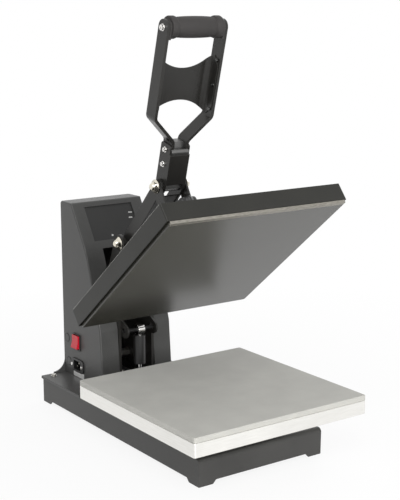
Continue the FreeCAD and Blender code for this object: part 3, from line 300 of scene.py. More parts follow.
def dress(node, width=0.0003, segments=3):
    piece = addPiece("dressed_" + node, mergedCopy(node), ownFinish.get(node, finishes[slotOf[node]]))
    if node in mainRounds:
        roundMain(piece, mainRounds[node])
    softenEdges(piece, width, segments=segments)
    smoothed(applied(piece))
    return seat(piece, bodyOf[node], slotOf[node], node)


mainRounds = {"column_housing": 0.0030, "platen_cover": 0.0022, "base_tray": 0.0016}
ownFinish = {"platen_cover": coverPaint, "handle_spacer": satinSteelAndHighlight, "spring_bracket": finishes["mechanism_paint"],
             "knee_spacer": satinSteelAndHighlight}


edgeWidths = {
    "base_tray": 0.0006, "column_floor_plate": 0.0006, "pedestal": 0.0005, "lower_plate": 0.0007,
    "column_side_plates": 0.0005, "column_housing": 0.0006, "rear_panel": 0.0005, "platen_cover": 0.0004,
    "arm_side_plates": 0.0005, "arm_web": 0.0006, "platen_mount_plate": 0.0006, "handle_bars": 0.0008,
    "handle_bracket": 0.0006, "hand_shield": 0.0003, "lever_bars": 0.0006, "toggle_links": 0.0005,
    "switch_rocker": 0.0006, "switch_bezel": 0.0005, "power_inlet": 0.0005, "handle_spacer": 0.0006,
}
madeBelow = ("silicone_pad", "grip_sleeve", "insulation_mat", "heat_plate", "pressure_knob", "pressure_screw",
             "knee_nuts", "lever_pivot_nuts", "bracket_bolts", "grip_bolts", "spring_eye", "rear_panel")
for node in nodes:
    if node not in madeBelow:
        dress(node, edgeWidths.get(node, 0.00025))
print("nodes dressed")


# Rear panel, countersunk for its screws
rearScrews = {"side": 0.074, "heights": (0.078, 0.186, 0.296, 0.404), "sinkRadius": 0.0046, "sinkDepth": 0.0016,
              "sides": 32}
rearPlaces = [(x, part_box("rear_panel")[1].y, z) for x in (-rearScrews["side"], rearScrews["side"])
              for z in rearScrews["heights"]]


def makeRearPanel():
    work = bmesh.new()
    for place in rearPlaces:
        turn = Matrix.Translation(place) @ Matrix.Rotation(math.radians(90), 4, "X")
        bmesh.ops.create_cone(work, cap_ends=True, segments=rearScrews["sides"], radius1=rearScrews["sinkRadius"],
                              radius2=rearScrews["sinkRadius"], depth=2 * rearScrews["sinkDepth"], matrix=turn)
    bmesh.ops.recalc_face_normals(work, faces=work.faces)
    mesh = bpy.data.meshes.new("countersinks")
    work.to_mesh(mesh)
    work.free()
    cutter = addPiece("countersinks", mesh)
    piece = addPiece("dressed_rear_panel", mergedCopy("rear_panel"), finishes["housing_paint"])
    cut = piece.modifiers.new("countersinks", "BOOLEAN")
    cut.object = cutter
    cut.operation = "DIFFERENCE"
    cut.solver = "EXACT"
    applied(piece)
    bpy.data.objects.remove(cutter)
    softenEdges(piece, 0.0003)
    smoothed(applied(piece))
    seat(piece, "frame", "housing_paint", "rear_panel")


makeRearPanel()


# Silicone sponge pad
pad = {"cornerRound": 0.004, "edgeRound": 0.0016}


def makePad():
    low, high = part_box("silicone_pad")
    work = bmesh.new()
    bmesh.ops.create_cube(work, size=1.0)
    size = high - low
    bmesh.ops.scale(work, vec=size, verts=work.verts)
    bmesh.ops.translate(work, vec=(low + high) / 2, verts=work.verts)
    upright = [e for e in work.edges if abs(e.verts[0].co.z - e.verts[1].co.z) > size.z * 0.5]
    bmesh.ops.bevel(work, geom=upright, offset=pad["cornerRound"], segments=6, profile=0.5, affect="EDGES")
    flatEdges = [e for e in work.edges if abs(e.verts[0].co.z - e.verts[1].co.z) < 1e-6]
    bmesh.ops.bevel(work, geom=flatEdges, offset=pad["edgeRound"], segments=4, profile=0.5, affect="EDGES")
    mesh = bpy.data.meshes.new("siliconePad")
    work.to_mesh(mesh)
    work.free()
    piece = smoothed(addPiece("siliconePad", mesh, finishes["silicone"]), 40)
    seat(piece, bodyOf["silicone_pad"], "silicone", "silicone_pad")


makePad()


# Insulation mat, hidden under the cover
def makeMat():
    piece = addPiece("insulationMat", mergedCopy("insulation_mat"), finishes["mat_wool"])
    softenEdges(piece, 0.002, 30.0, 3)
    smoothed(applied(piece), 50)
    seat(piece, bodyOf["insulation_mat"], "mat_wool", "insulation_mat")


makeMat()


# Heat plate: coated, with a bare streaky front edge; its sideways faces keep the dark coat right to the front, painted
# shade on the plate's sides
plateFront = {"bareBand": 0.0025, "edgeRound": 0.0006, "clear": 0.0004, "halfWidth": 0.1888}


def makeHeatPlate():
    piece = addPiece("coatedHeatPlate", mergedCopy("heat_plate"), finishes["heat_plate_coat"], plateEdge)
    forward = across.cross(liftAxis)
    reach = max(v.co.dot(forward) for v in piece.data.vertices) - plateFront["bareBand"]
    work = bmesh.new()
    work.from_mesh(piece.data)
    bmesh.ops.bisect_plane(work, geom=work.verts[:] + work.edges[:] + work.faces[:], plane_co=forward * reach,
                           plane_no=forward)
    work.to_mesh(piece.data)
    work.free()
    softenEdges(piece, plateFront["edgeRound"])
    applied(piece)
    # the bare metal is real on the front band; sideways faces there stay in the dark coat as painted shade
    for polygon in piece.data.polygons:
        bare = polygon.center.dot(forward) > reach and abs(polygon.normal.x) < 0.5
        polygon.material_index = 1 if bare else 0
    smoothed(piece)
    seat(piece, bodyOf["heat_plate"], "heat_plate_coat", "heat_plate")


makeHeatPlate()


def makeSection(name, halfWidth, outline, material, body, slotName, edge):
    work = bmesh.new()
    face = work.faces.new([work.verts.new((-halfWidth, y, z)) for y, z in outline])
    grown = bmesh.ops.extrude_face_region(work, geom=[face])
    moved = [v for v in grown["geom"] if isinstance(v, bmesh.types.BMVert)]
    bmesh.ops.translate(work, vec=(2 * halfWidth, 0, 0), verts=moved)
    bmesh.ops.recalc_face_normals(work, faces=work.faces)
    mesh = bpy.data.meshes.new(name)
    work.to_mesh(mesh)
    work.free()
    piece = addPiece(name, mesh, material)
    softenEdges(piece, edge, 40.0)
    smoothed(applied(piece))
    return seat(piece, body, slotName)


# Bare front strip of the heat plate, just below the cover's skirt
def makeFrontStrip():
    ahead = across.cross(liftAxis)
    plate = [Vector(v.co) for v in nodes["heat_plate"].data.vertices]
    cover = [Vector(v.co) for v in nodes["platen_cover"].data.vertices]
    back = max(v.dot(ahead) for v in plate) - plateFront["clear"]
    front = max(v.dot(ahead) for v in cover) - plateFront["clear"]
    low = min(v.dot(liftAxis) for v in plate)
    high = min(v.dot(liftAxis) for v in cover) - plateFront["clear"]
    corners = [ahead * f + liftAxis * h for f, h in ((back, low), (front, low), (front, high), (back, high))]
    makeSection("plateFrontStrip", plateFront["halfWidth"], [(point.y, point.z) for point in corners], plateEdge,
                bodyOf["heat_plate"], "heat_plate_coat", 0.0005)


makeFrontStrip()


# Thin bright steel rods along the cover's two upper side edges, a painted highlight on those edges
coverEdgeHighlight = {"radius": 0.0010, "inset": 0.0010, "sunk": 0.0003, "ends": 0.004, "around": 12}


def makeEdgeHighlights():
    ahead = across.cross(liftAxis)
    cover = [Vector(v.co) for v in nodes["platen_cover"].data.vertices]
    front = max(v.dot(ahead) for v in cover) - coverEdgeHighlight["ends"]
    back = min(v.dot(ahead) for v in cover) + coverEdgeHighlight["ends"]
    top = max(v.dot(liftAxis) for v in cover) - coverEdgeHighlight["sunk"]
    side = max(v.x for v in cover) - coverEdgeHighlight["inset"]
    work = bmesh.new()
    for x in (-side, side):
        rings = []
        for f in (back, front):
            middle = ahead * f + liftAxis * top + across * x
            ring = []
            for i in range(coverEdgeHighlight["around"]):
                a = 2 * math.pi * i / coverEdgeHighlight["around"]
                ring.append(work.verts.new(middle + (across * math.cos(a) + liftAxis * math.sin(a)) * coverEdgeHighlight["radius"]))
            rings.append(ring)
        for i in range(coverEdgeHighlight["around"]):
            j = (i + 1) % coverEdgeHighlight["around"]
            work.faces.new((rings[0][i], rings[0][j], rings[1][j], rings[1][i]))
        work.faces.new(rings[0])
        work.faces.new(rings[1])
    bmesh.ops.recalc_face_normals(work, faces=work.faces)
    mesh = bpy.data.meshes.new("coverEdgeHighlights")
    work.to_mesh(mesh)
    work.free()
    piece = smoothed(addPiece("coverEdgeHighlights", mesh, highlightSteel))
    seat(piece, bodyOf["platen_cover"], "housing_paint")


makeEdgeHighlights()


# Rubber grip, turned about its own axis: half-profile as distance from the end and radius
grip = {"around": 96, "end": 0.056,
        "profile": ((0.0, 0.0150), (0.0, 0.0188), (0.0006, 0.0199), (0.0018, 0.0205), (0.0105, 0.0205),
                    (0.0122, 0.0200), (0.0132, 0.0189), (0.0138, 0.0178), (0.0150, 0.0175), (0.0165, 0.0178),
                    (0.0200, 0.0184), (0.0270, 0.0189), (0.0360, 0.0193), (0.0460, 0.0195), (0.0560, 0.0196))}


def makeGrip():
    low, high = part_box("grip_sleeve")
    middle = (low + high) / 2
    half = list(grip["profile"])
    stations = [(-grip["end"] + d, r) for d, r in half] + [(grip["end"] - d, r) for d, r in reversed(half[:-1])]
    work = bmesh.new()
    rings = []
    for x, radius in stations:
        ring = []
        for i in range(grip["around"]):
            a = 2 * math.pi * i / grip["around"]
            ring.append(work.verts.new((x, middle.y + radius * math.cos(a), middle.z + radius * math.sin(a))))
        rings.append(ring)
    for first, second in zip(rings, rings[1:] + rings[:1]):
        for i in range(grip["around"]):
            j = (i + 1) % grip["around"]
            work.faces.new((first[i], first[j], second[j], second[i]))
    bmesh.ops.recalc_face_normals(work, faces=work.faces)
    mesh = bpy.data.meshes.new("rubberGrip")
    work.to_mesh(mesh)
    work.free()
    piece = smoothed(addPiece("rubberGrip", mesh, finishes["grip_rubber"]), 60)
    seat(piece, bodyOf["grip_sleeve"], "grip_rubber", "grip_sleeve")


makeGrip()
print("soft pieces made")


# Gas spring's end fitting: bright knuckle and neck, with a near-black stud out to the arm; the stud is black oxide
# made darker still, painted shade of the channel
def makeSpringEye():
    piece = addPiece("springEye", mergedCopy("spring_eye"), finishes["chrome"], blackOxideAndShade)
    softenEdges(piece, 0.0022, segments=4)
    applied(piece)
    for polygon in piece.data.polygons:
        # faces out past the neck take the near-black finish, black oxide darkened as painted channel shade
        polygon.material_index = 1 if abs(polygon.center.x) > 0.0077 else 0
    smoothed(piece)
    seat(piece, bodyOf["spring_eye"], "chrome", "spring_eye")


makeSpringEye()


# Geometry Nodes: each tree makes one shape with named sizes and sets it on every point that it is given

def newTree(name, sizes):
    tree = bpy.data.node_groups.new(name, "GeometryNodeTree")
    tree.interface.new_socket("Geometry", in_out="INPUT", socket_type="NodeSocketGeometry")
    for label, value in sizes.items():
        kind = "NodeSocketInt" if isinstance(value, int) else "NodeSocketFloat"
        item = tree.interface.new_socket(label, in_out="INPUT", socket_type=kind)
        item.default_value = value
    tree.interface.new_socket("finish", in_out="INPUT", socket_type="NodeSocketMaterial")
    tree.interface.new_socket("Geometry", in_out="OUTPUT", socket_type="NodeSocketGeometry")
    return tree, tree.nodes.new("NodeGroupInput").outputs


def add(tree, kind, inputs=None, **settings):
    node = tree.nodes.new(kind)
    for key, value in settings.items():
        setattr(node, key, value)
    for key, value in (inputs or {}).items():
        socket = node.inputs[key]
        if isinstance(value, bpy.types.NodeSocket):
            tree.links.new(value, socket)
        else:
            socket.default_value = value
    return node


def math2(tree, operation, first, second):
    node = add(tree, "ShaderNodeMath", {0: first, 1: second}, operation=operation)
    return node.outputs[0]


def raised(tree, shape, height):
    offset = add(tree, "ShaderNodeCombineXYZ", {"Z": height})
    move = add(tree, "GeometryNodeTransform", {"Geometry": shape, "Translation": offset.outputs[0]})
    return move.outputs["Geometry"]


def drum(tree, radius, height, base, sides=32):
    body = add(tree, "GeometryNodeMeshCylinder", {"Vertices": sides, "Radius": radius, "Depth": height})
    return raised(tree, body.outputs["Mesh"], math2(tree, "MULTIPLY_ADD", height, 0.5) if base is None
                  else math2(tree, "ADD", math2(tree, "MULTIPLY", height, 0.5), base))


def closeTree(tree, given, shapes):
    joined = tree.nodes.new("GeometryNodeJoinGeometry")
    for shape in shapes:
        tree.links.new(shape, joined.inputs["Geometry"])
    facing = add(tree, "GeometryNodeInputNamedAttribute", {"Name": "facing"}, data_type="FLOAT_VECTOR")
    turned = add(tree, "FunctionNodeAlignRotationToVector", {"Vector": facing.outputs["Attribute"]}, axis="Z")
    placed = add(tree, "GeometryNodeInstanceOnPoints",
                 {"Points": given["Geometry"], "Instance": joined.outputs["Geometry"],
                  "Rotation": turned.outputs["Rotation"]})
    real = add(tree, "GeometryNodeRealizeInstances", {"Geometry": placed.outputs["Instances"]})
    painted = add(tree, "GeometryNodeSetMaterial", {"Geometry": real.outputs["Geometry"], "Material": given["finish"]})
    end = tree.nodes.new("NodeGroupOutput")
    tree.links.new(painted.outputs["Geometry"], end.inputs["Geometry"])
    return tree


def makeScrewTree():
    sizes = {"headSides": 32, "headRadius": 0.004, "headHeight": 0.003, "socketRadius": 0.002,
             "socketDepth": 0.0015, "washerRadius": 0.005, "washerHeight": 0.001, "shankRadius": 0.002,
             "shankLength": 0.004}
    tree, given = newTree("screwSet", sizes)
    washer = drum(tree, given["washerRadius"], given["washerHeight"], 0.0)
    head = drum(tree, given["headRadius"], given["headHeight"], given["washerHeight"], given["headSides"])
    top = math2(tree, "ADD", given["washerHeight"], given["headHeight"])
    pitLow = math2(tree, "SUBTRACT", top, given["socketDepth"])
    pit = drum(tree, given["socketRadius"], math2(tree, "MULTIPLY", given["socketDepth"], 2.0), pitLow, 6)
    hollow = add(tree, "GeometryNodeMeshBoolean", {"Mesh 1": head, "Mesh 2": pit}, operation="DIFFERENCE")
    down = math2(tree, "MULTIPLY", given["shankLength"], -1.0)
    shank = drum(tree, given["shankRadius"], given["shankLength"], down, 20)
    return closeTree(tree, given, [washer, hollow.outputs["Mesh"], shank])


def makeDomeNutTree():
    sizes = {"washerRadius": 0.0105, "washerHeight": 0.0012, "nutRadius": 0.0108, "nutHeight": 0.006,
             "domeRadius": 0.0082, "domeLift": 0.0016}
    tree, given = newTree("domeNutSet", sizes)
    washer = drum(tree, given["washerRadius"], given["washerHeight"], 0.0, 40)
    nut = drum(tree, given["nutRadius"], given["nutHeight"], given["washerHeight"], 6)
    cone = add(tree, "GeometryNodeMeshCone", {"Vertices": 48, "Radius Top": given["domeRadius"],
                                              "Radius Bottom": math2(tree, "MULTIPLY", given["nutRadius"], 1.28),
                                              "Depth": given["nutHeight"]})
    top = math2(tree, "ADD", given["washerHeight"], given["nutHeight"])
    funnel = raised(tree, cone.outputs["Mesh"], given["washerHeight"])
    chamfered = add(tree, "GeometryNodeMeshBoolean", {"Mesh 2": nut}, operation="INTERSECT")
    tree.links.new(funnel, chamfered.inputs["Mesh 2"])
    dome = add(tree, "GeometryNodeMeshUVSphere", {"Segments": 40, "Rings": 24, "Radius": given["domeRadius"]})
    lifted = raised(tree, dome.outputs["Mesh"], math2(tree, "SUBTRACT", top, given["domeLift"]))
    return closeTree(tree, given, [washer, chamfered.outputs["Mesh"], lifted])


def makeThreadTree():
    sizes = {"coreRadius": 0.0070, "ridgeRadius": 0.00079, "ridgeAt": 0.0071, "length": 0.05, "turns": 25.0,
             "footRadius": 0.0099, "footHeight": 0.0069}
    tree, given = newTree("threadedRod", sizes)
    core = drum(tree, given["coreRadius"], given["length"], 0.0, 48)
    foot = drum(tree, given["footRadius"], given["footHeight"], 0.0, 48)
    spiral = add(tree, "GeometryNodeCurveSpiral",
                 {"Resolution": 32, "Rotations": given["turns"], "Start Radius": given["ridgeAt"],
                  "End Radius": given["ridgeAt"], "Height": given["length"]})
    ridge = add(tree, "GeometryNodeCurvePrimitiveCircle", {"Resolution": 4, "Radius": given["ridgeRadius"]})
    swept = add(tree, "GeometryNodeCurveToMesh", {"Curve": spiral.outputs["Curve"],
                                                  "Profile Curve": ridge.outputs["Curve"], "Fill Caps": True})
    return closeTree(tree, given, [core, foot, swept.outputs["Mesh"]])


def makeKnobTree():
    sizes = {"radius": 0.024, "height": 0.032, "lobes": 8, "fluteDepth": 0.13, "sides": 192, "levels": 28}
    tree, given = newTree("lobedKnob", sizes)
    body = add(tree, "GeometryNodeMeshCylinder",
               {"Vertices": given["sides"], "Side Segments": given["levels"], "Radius": given["radius"],
                "Depth": given["height"]}, fill_type="TRIANGLE_FAN")
    place = add(tree, "GeometryNodeInputPosition")
    parted = add(tree, "ShaderNodeSeparateXYZ", {"Vector": place.outputs["Position"]})
    angle = math2(tree, "ARCTAN2", parted.outputs["Y"], parted.outputs["X"])
    wave = add(tree, "ShaderNodeMath", {0: math2(tree, "MULTIPLY", angle, given["lobes"])}, operation="COSINE")
    notch = math2(tree, "MULTIPLY", math2(tree, "SUBTRACT", 1.0, wave.outputs[0]),
                  math2(tree, "MULTIPLY", given["fluteDepth"], 0.5))
    share = math2(tree, "DIVIDE", parted.outputs["Z"], math2(tree, "MULTIPLY", given["height"], 0.5))
    steep = math2(tree, "POWER", math2(tree, "ABSOLUTE", share, 0.0), 9.0)
    crown = math2(tree, "MULTIPLY", steep, 0.16)
    scale = math2(tree, "SUBTRACT", math2(tree, "SUBTRACT", 1.0, notch), crown)
    moved = add(tree, "ShaderNodeCombineXYZ", {"X": math2(tree, "MULTIPLY", parted.outputs["X"], scale),
                                               "Y": math2(tree, "MULTIPLY", parted.outputs["Y"], scale),
                                               "Z": parted.outputs["Z"]})
    shaped = add(tree, "GeometryNodeSetPosition", {"Geometry": body.outputs["Mesh"],
                                                   "Position": moved.outputs["Vector"]})
    neck = drum(tree, math2(tree, "MULTIPLY", given["radius"], 0.56), math2(tree, "MULTIPLY", given["height"], 0.3),
                math2(tree, "MULTIPLY", given["height"], -0.75), 64)
    return closeTree(tree, given, [shaped.outputs["Geometry"], neck])


screwSet = makeScrewTree()
domeNutSet = makeDomeNutTree()
threadedRod = makeThreadTree()
lobedKnob = makeKnobTree()


def setOn(name, tree, places, sizes, material, body, slotName, replaced=(), edge=0.0002):
    mesh = bpy.data.meshes.new(name)
    mesh.from_pydata([place for place, facing in places], [], [])
    facings = mesh.attributes.new("facing", "FLOAT_VECTOR", "POINT")
    for i, (place, facing) in enumerate(places):
        facings.data[i].vector = facing
    piece = addPiece(name, mesh, material)
    modifier = piece.modifiers.new("set", "NODES")
    modifier.node_group = tree
    for item in tree.interface.items_tree:
        if item.in_out == "INPUT" and item.name in sizes:
            modifier[item.identifier] = sizes[item.name]
        if item.in_out == "INPUT" and item.name == "finish":
            modifier[item.identifier] = material
    if edge:
        softenEdges(piece, edge, 30.0)
    smoothed(applied(piece))
    return seat(piece, body, slotName, *replaced)


def leanedPoint(x, forward, up, lean=15.5):
    a = math.radians(lean)
    y = -forward
    return Vector((x, knee.y + y * math.cos(a) - up * math.sin(a), knee.z + y * math.sin(a) + up * math.cos(a)))


def pair(point, x):
    return [(Vector((x, point.y, point.z)), across), (Vector((-x, point.y, point.z)), -across)]


# Pivot nuts and the handle's bolts
pivotNut = {"washerRadius": 0.0102, "washerHeight": 0.0012, "nutRadius": 0.0106, "nutHeight": 0.0060,
            "domeRadius": 0.0079, "domeLift": 0.0020}
bracketBolt = {"headSides": 24, "headRadius": 0.0040, "headHeight": 0.0034, "socketRadius": 0.0019,
               "socketDepth": 0.0018, "washerRadius": 0.0056, "washerHeight": 0.0012, "shankRadius": 0.0030,
               "shankLength": 0.0205}
gripBolt = {"headSides": 40, "headRadius": 0.0052, "headHeight": 0.0034, "socketRadius": 0.0027,
            "socketDepth": 0.0026, "washerRadius": 0.0066, "washerHeight": 0.0012, "shankRadius": 0.00398,
            "shankLength": 0.028}
setOn("leverPivotNuts", domeNutSet, pair(leverPivot, 0.042), pivotNut, warmNickel,
      bodyOf["lever_pivot_nuts"], "chrome", ["lever_pivot_nuts"])
setOn("kneeNuts", domeNutSet, pair(knee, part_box("knee_bolt")[1].x), pivotNut, warmNickel,
      bodyOf["knee_nuts"], "chrome", ["knee_nuts"])
boltRows = [place for up in (0.045, 0.074) for place in pair(leanedPoint(0, 0, up), 0.022)]
setOn("bracketBolts", screwSet, boltRows, bracketBolt, finishes["chrome"], "handle_lever",
      "bright_steel", ["bracket_bolts"])
setOn("gripBolts", screwSet, pair(leanedPoint(0, 0, 0.307), 0.066), gripBolt, finishes["chrome"],
      "handle_lever", "bright_steel", ["grip_bolts"])
shieldScrew = {"headSides": 24, "headRadius": 0.0030, "headHeight": 0.0012, "socketRadius": 0.0015,
               "socketDepth": 0.0007, "washerRadius": 0.0034, "washerHeight": 0.0004, "shankRadius": 0.0015,
               "shankLength": 0.001}
shieldRows = []
for up in (0.152, 0.199, 0.246):
    right = leanedPoint(0.058, 0.0065, up)
    left = leanedPoint(-0.058, 0.0065, up)
    shieldRows += [(right, -across), (left, across)]
setOn("shieldScrews", screwSet, shieldRows, shieldScrew, darkSteel, "handle_lever", "bright_steel")


# Rolled top edge of the handle bracket's front web, in satin steel lighter than the bracket's black paint: a painted
# highlight on the fold
rolledEdge = {"halfWidth": 0.0189, "back": 0.0113, "front": 0.0190, "low": 0.0688, "bend": 0.0715, "steps": 10}
roll = rolledEdge["front"] - rolledEdge["back"]
rollLine = [(rolledEdge["back"], rolledEdge["low"]), (rolledEdge["front"], rolledEdge["low"])]
for step in range(rolledEdge["steps"] + 1):
    turn = math.radians(90 * step / rolledEdge["steps"])
    rollLine.append((rolledEdge["back"] + roll * math.cos(turn), rolledEdge["bend"] + roll * math.sin(turn)))
rollLine = [leanedPoint(0, ahead, high) for ahead, high in rollLine]
makeSection("bracketRolledEdge", rolledEdge["halfWidth"], [(point.y, point.z) for point in rollLine],
            satinSteelAndHighlight, "handle_lever", "mechanism_paint", 0.0003)

# Web that joins the two lever bars
leverWeb = {"halfWidth": 0.0218, "fromKnee": 0.018, "toPivot": 0.024, "front": 0.0125, "thickness": 0.0025}
leverLine = (leverPivot - knee).normalized()
leverFront = across.cross(leverLine) * (-1 if across.cross(leverLine).z > 0 else 1)
webStart = knee + leverLine * leverWeb["fromKnee"] + leverFront * leverWeb["front"]
webEnd = leverPivot - leverLine * leverWeb["toPivot"] + leverFront * leverWeb["front"]
webDeep = leverFront * -leverWeb["thickness"]
makeSection("leverWeb", leverWeb["halfWidth"],
            [(point.y, point.z) for point in (webStart, webEnd, webEnd + webDeep, webStart + webDeep)],
            finishes["mechanism_paint"], "handle_lever", "mechanism_paint", 0.0004)
print("handle fasteners, bracket edge and lever web made")


# Pressure screw and knob
rodSizes = {"start": 0.003, "knobNeck": 0.008}


def makePressureScrew():
    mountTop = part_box("guide_bars")
    knobLow = Vector((0, 0, 0))
    corners = [Vector(v.co) for v in nodes["pressure_screw"].data.vertices]
    heights = [corner.dot(liftAxis) for corner in corners]
    low = min(heights)
    high = max(heights)
    middle = sum(corners, Vector()) / len(corners)
    base = middle + liftAxis * (low - middle.dot(liftAxis))
    base.x = 0
    sizes = {"length": high - low, "turns": (high - low) / 0.002}
    setOn("pressureScrew", threadedRod, [(base, liftAxis)], sizes, finishes["bright_steel"],
          bodyOf["pressure_screw"], "bright_steel", ["pressure_screw"], 0.0)
    knobHeights = [Vector(v.co).dot(liftAxis) for v in nodes["pressure_knob"].data.vertices]
    bottom = min(knobHeights)
    top = max(knobHeights)
    body = (top - bottom) * 0.8
    centre = base + liftAxis * (top - body / 2 - low)
    setOn("pressureKnob", lobedKnob, [(centre, liftAxis)], {"height": body}, finishes["black_plastic"],
          bodyOf["pressure_knob"], "black_plastic", ["pressure_knob"], 0.0008)


makePressureScrew()
print("pressure screw and knob made")


# Fasteners of the column and base
floorBolt = {"headSides": 32, "headRadius": 0.0046, "headHeight": 0.0030, "socketRadius": 0.0020,
             "socketDepth": 0.0014, "washerRadius": 0.0060, "washerHeight": 0.0010, "shankRadius": 0.002,
             "shankLength": 0.001}
flangeScrew = {"headSides": 28, "headRadius": 0.0031, "headHeight": 0.0014, "socketRadius": 0.0014,
               "socketDepth": 0.0007, "washerRadius": 0.0032, "washerHeight": 0.0002, "shankRadius": 0.001,
               "shankLength": 0.001}
plugDisc = {"headSides": 48, "headRadius": 0.0078, "headHeight": 0.0004, "socketRadius": 0.0002,
            "socketDepth": 0.0001, "washerRadius": 0.0078, "washerHeight": 0.0002, "shankRadius": 0.001,
            "shankLength": 0.001}
plugEdge = {"headSides": 48, "headRadius": 0.0094, "headHeight": 0.0001, "socketRadius": 0.0002,
            "socketDepth": 0.0001, "washerRadius": 0.0094, "washerHeight": 0.0002, "shankRadius": 0.001,
            "shankLength": 0.001}
panelScrew = {"headSides": 28, "headRadius": 0.0034, "headHeight": 0.0013, "socketRadius": 0.0015,
              "socketDepth": 0.0008, "washerRadius": 0.0035, "washerHeight": 0.0002, "shankRadius": 0.0012,
              "shankLength": 0.001}
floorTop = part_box("column_floor_plate")[1].z
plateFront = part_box("column_floor_plate")[0].y
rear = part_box("column_floor_plate")[1].y
up = Vector((0, 0, 1))
inletLow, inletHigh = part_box("power_inlet")
inletMiddle = (inletLow + inletHigh) / 2
floorPlaces = [(Vector((x, y, floorTop)), up) for x in (-0.1195, 0.1195) for y in (plateFront + 0.0165, rear - 0.0165)]
floorPlaces += [(Vector((x, 0.239, floorTop)), up) for x in (-0.012, 0.012)]
setOn("floorBolts", screwSet, floorPlaces, floorBolt, finishes["bright_steel"], "frame", "bright_steel")
setOn("inletScrews", screwSet, [(Vector((inletLow.x, inletMiddle.y + dy, inletMiddle.z)), -across)
                                for dy in (-0.0200, 0.0200)], flangeScrew, finishes["chrome"], "frame", "bright_steel")
plugPlaces = [(Vector((-0.084, 0.3010, 0.132)), -across), (Vector((-0.084, 0.2955, 0.082)), -across)]
setOn("wallPlugRings", screwSet, plugPlaces, plugEdge, plugRing, "frame", "black_plastic", edge=0.0)
setOn("wallPlugs", screwSet, plugPlaces, plugDisc, finishes["housing_paint"], "frame", "housing_paint")
setOn("rearPanelScrews", screwSet,
      [(Vector((x, y - rearScrews["sinkDepth"], z)), Vector((0, 1, 0))) for x, y, z in rearPlaces],
      panelScrew, finishes["bright_steel"], "frame", "bright_steel")
print("column fasteners set")


# Camera, at the photograph's angle; pixel places are counted in a frame of 400 by 500 pixels
camera = {"place": (-1.2174, -1.7909, 0.7990), "look": (0.5646, 0.8009, -0.1994), "roll": -0.15, "lens": 83.88,
          "sensor": 36.0, "frameWidth": 400, "frameHeight": 500}
cameraTurn = (Vector(camera["look"]).to_track_quat("-Z", "Y").to_matrix()
              @ Matrix.Rotation(math.radians(camera["roll"]), 3, "Z"))


def makeCamera():
    data = bpy.data.cameras.new("photoCamera")
    data.lens = camera["lens"]
    data.sensor_width = camera["sensor"]
    data.sensor_fit = "AUTO"
    holder = bpy.data.objects.new("photoCamera", data)
    bpy.context.scene.collection.objects.link(holder)
    holder.location = camera["place"]
    holder.rotation_mode = "QUATERNION"
    holder.rotation_quaternion = cameraTurn.to_quaternion()
    bpy.context.scene.camera = holder


def pixelOnPlane(px, py, point, normal):
    reach = camera["lens"] / camera["sensor"] * camera["frameHeight"]
    ray = cameraTurn @ Vector((px - camera["frameWidth"] / 2, camera["frameHeight"] / 2 - py, -reach))
    start = Vector(camera["place"])
    return start + ray * ((point - start).dot(normal) / ray.dot(normal))


makeCamera()


# Flat marks: prints on the console film and a blank label below the inlet
def makePlate(name, corners, normal, thickness, material, slotName, edge=0.0002):
    work = bmesh.new()
    face = work.faces.new([work.verts.new(corner) for corner in corners])
    bmesh.ops.recalc_face_normals(work, faces=[face])
    if face.normal.dot(normal) < 0:
        face.normal_flip()
    raisedFaces = bmesh.ops.extrude_face_region(work, geom=[face])
    moved = [v for v in raisedFaces["geom"] if isinstance(v, bmesh.types.BMVert)]
    bmesh.ops.translate(work, vec=normal * thickness, verts=moved)
    bmesh.ops.recalc_face_normals(work, faces=work.faces)
    mesh = bpy.data.meshes.new(name)
    work.to_mesh(mesh)
    work.free()
    piece = addPiece(name, mesh, material)
    softenEdges(piece, edge, 30.0)
    smoothed(applied(piece))
    return seat(piece, "frame", slotName)


consoleMarks = {"upperDash": (128.2, 211.5, 131.8, 212.6), "lowerDash": (128.8, 216.6, 132.2, 217.7),
                "lamp": (111.7, 234.2, 113.5, 235.9)}
consoleFace = max(nodes["console_panel"].data.polygons, key=lambda p: p.area * max(p.normal.z, 0))
consolePoint = Vector(consoleFace.center)
consoleNormal = Vector(consoleFace.normal)
for name, (x0, y0, x1, y1) in consoleMarks.items():
    corners = [pixelOnPlane(px, py, consolePoint, consoleNormal) for px, py in
               ((x0, y0), (x1, y0), (x1, y1), (x0, y1))]
    makePlate(name, corners, consoleNormal, 0.0002, printWhite, "console_plastic", 0.00005)
label = {"x": -0.084, "front": 0.2340, "back": 0.2775, "low": 0.0556, "high": 0.0672}
labelCorners = [Vector((label["x"], y, z)) for y, z in
                ((label["front"], label["low"]), (label["back"], label["low"]),
                 (label["back"], label["high"]), (label["front"], label["high"]))]
makePlate("blankLabel", labelCorners, -across, 0.0002, paperLabel, "housing_paint", 0.00005)
print("marks made")


# Studio
studio = {"floorSize": 60.0, "key": 40.0, "fill": 56.0, "side": 12.0, "world": 0.5, "nearGlow": 0.88,
          "glowFrom": 0.5, "glowTo": 1.3}


def rayMask(tree):
    path = tree.nodes.new("ShaderNodeLightPath")
    first = tree.nodes.new("ShaderNodeMath")
    first.operation = "MAXIMUM"
    second = tree.nodes.new("ShaderNodeMath")
    second.operation = "MAXIMUM"
    tree.links.new(path.outputs["Is Camera Ray"], first.inputs[0])
    tree.links.new(path.outputs["Is Glossy Ray"], first.inputs[1])
    tree.links.new(first.outputs[0], second.inputs[0])
    tree.links.new(path.outputs["Is Transmission Ray"], second.inputs[1])
    return second.outputs[0]


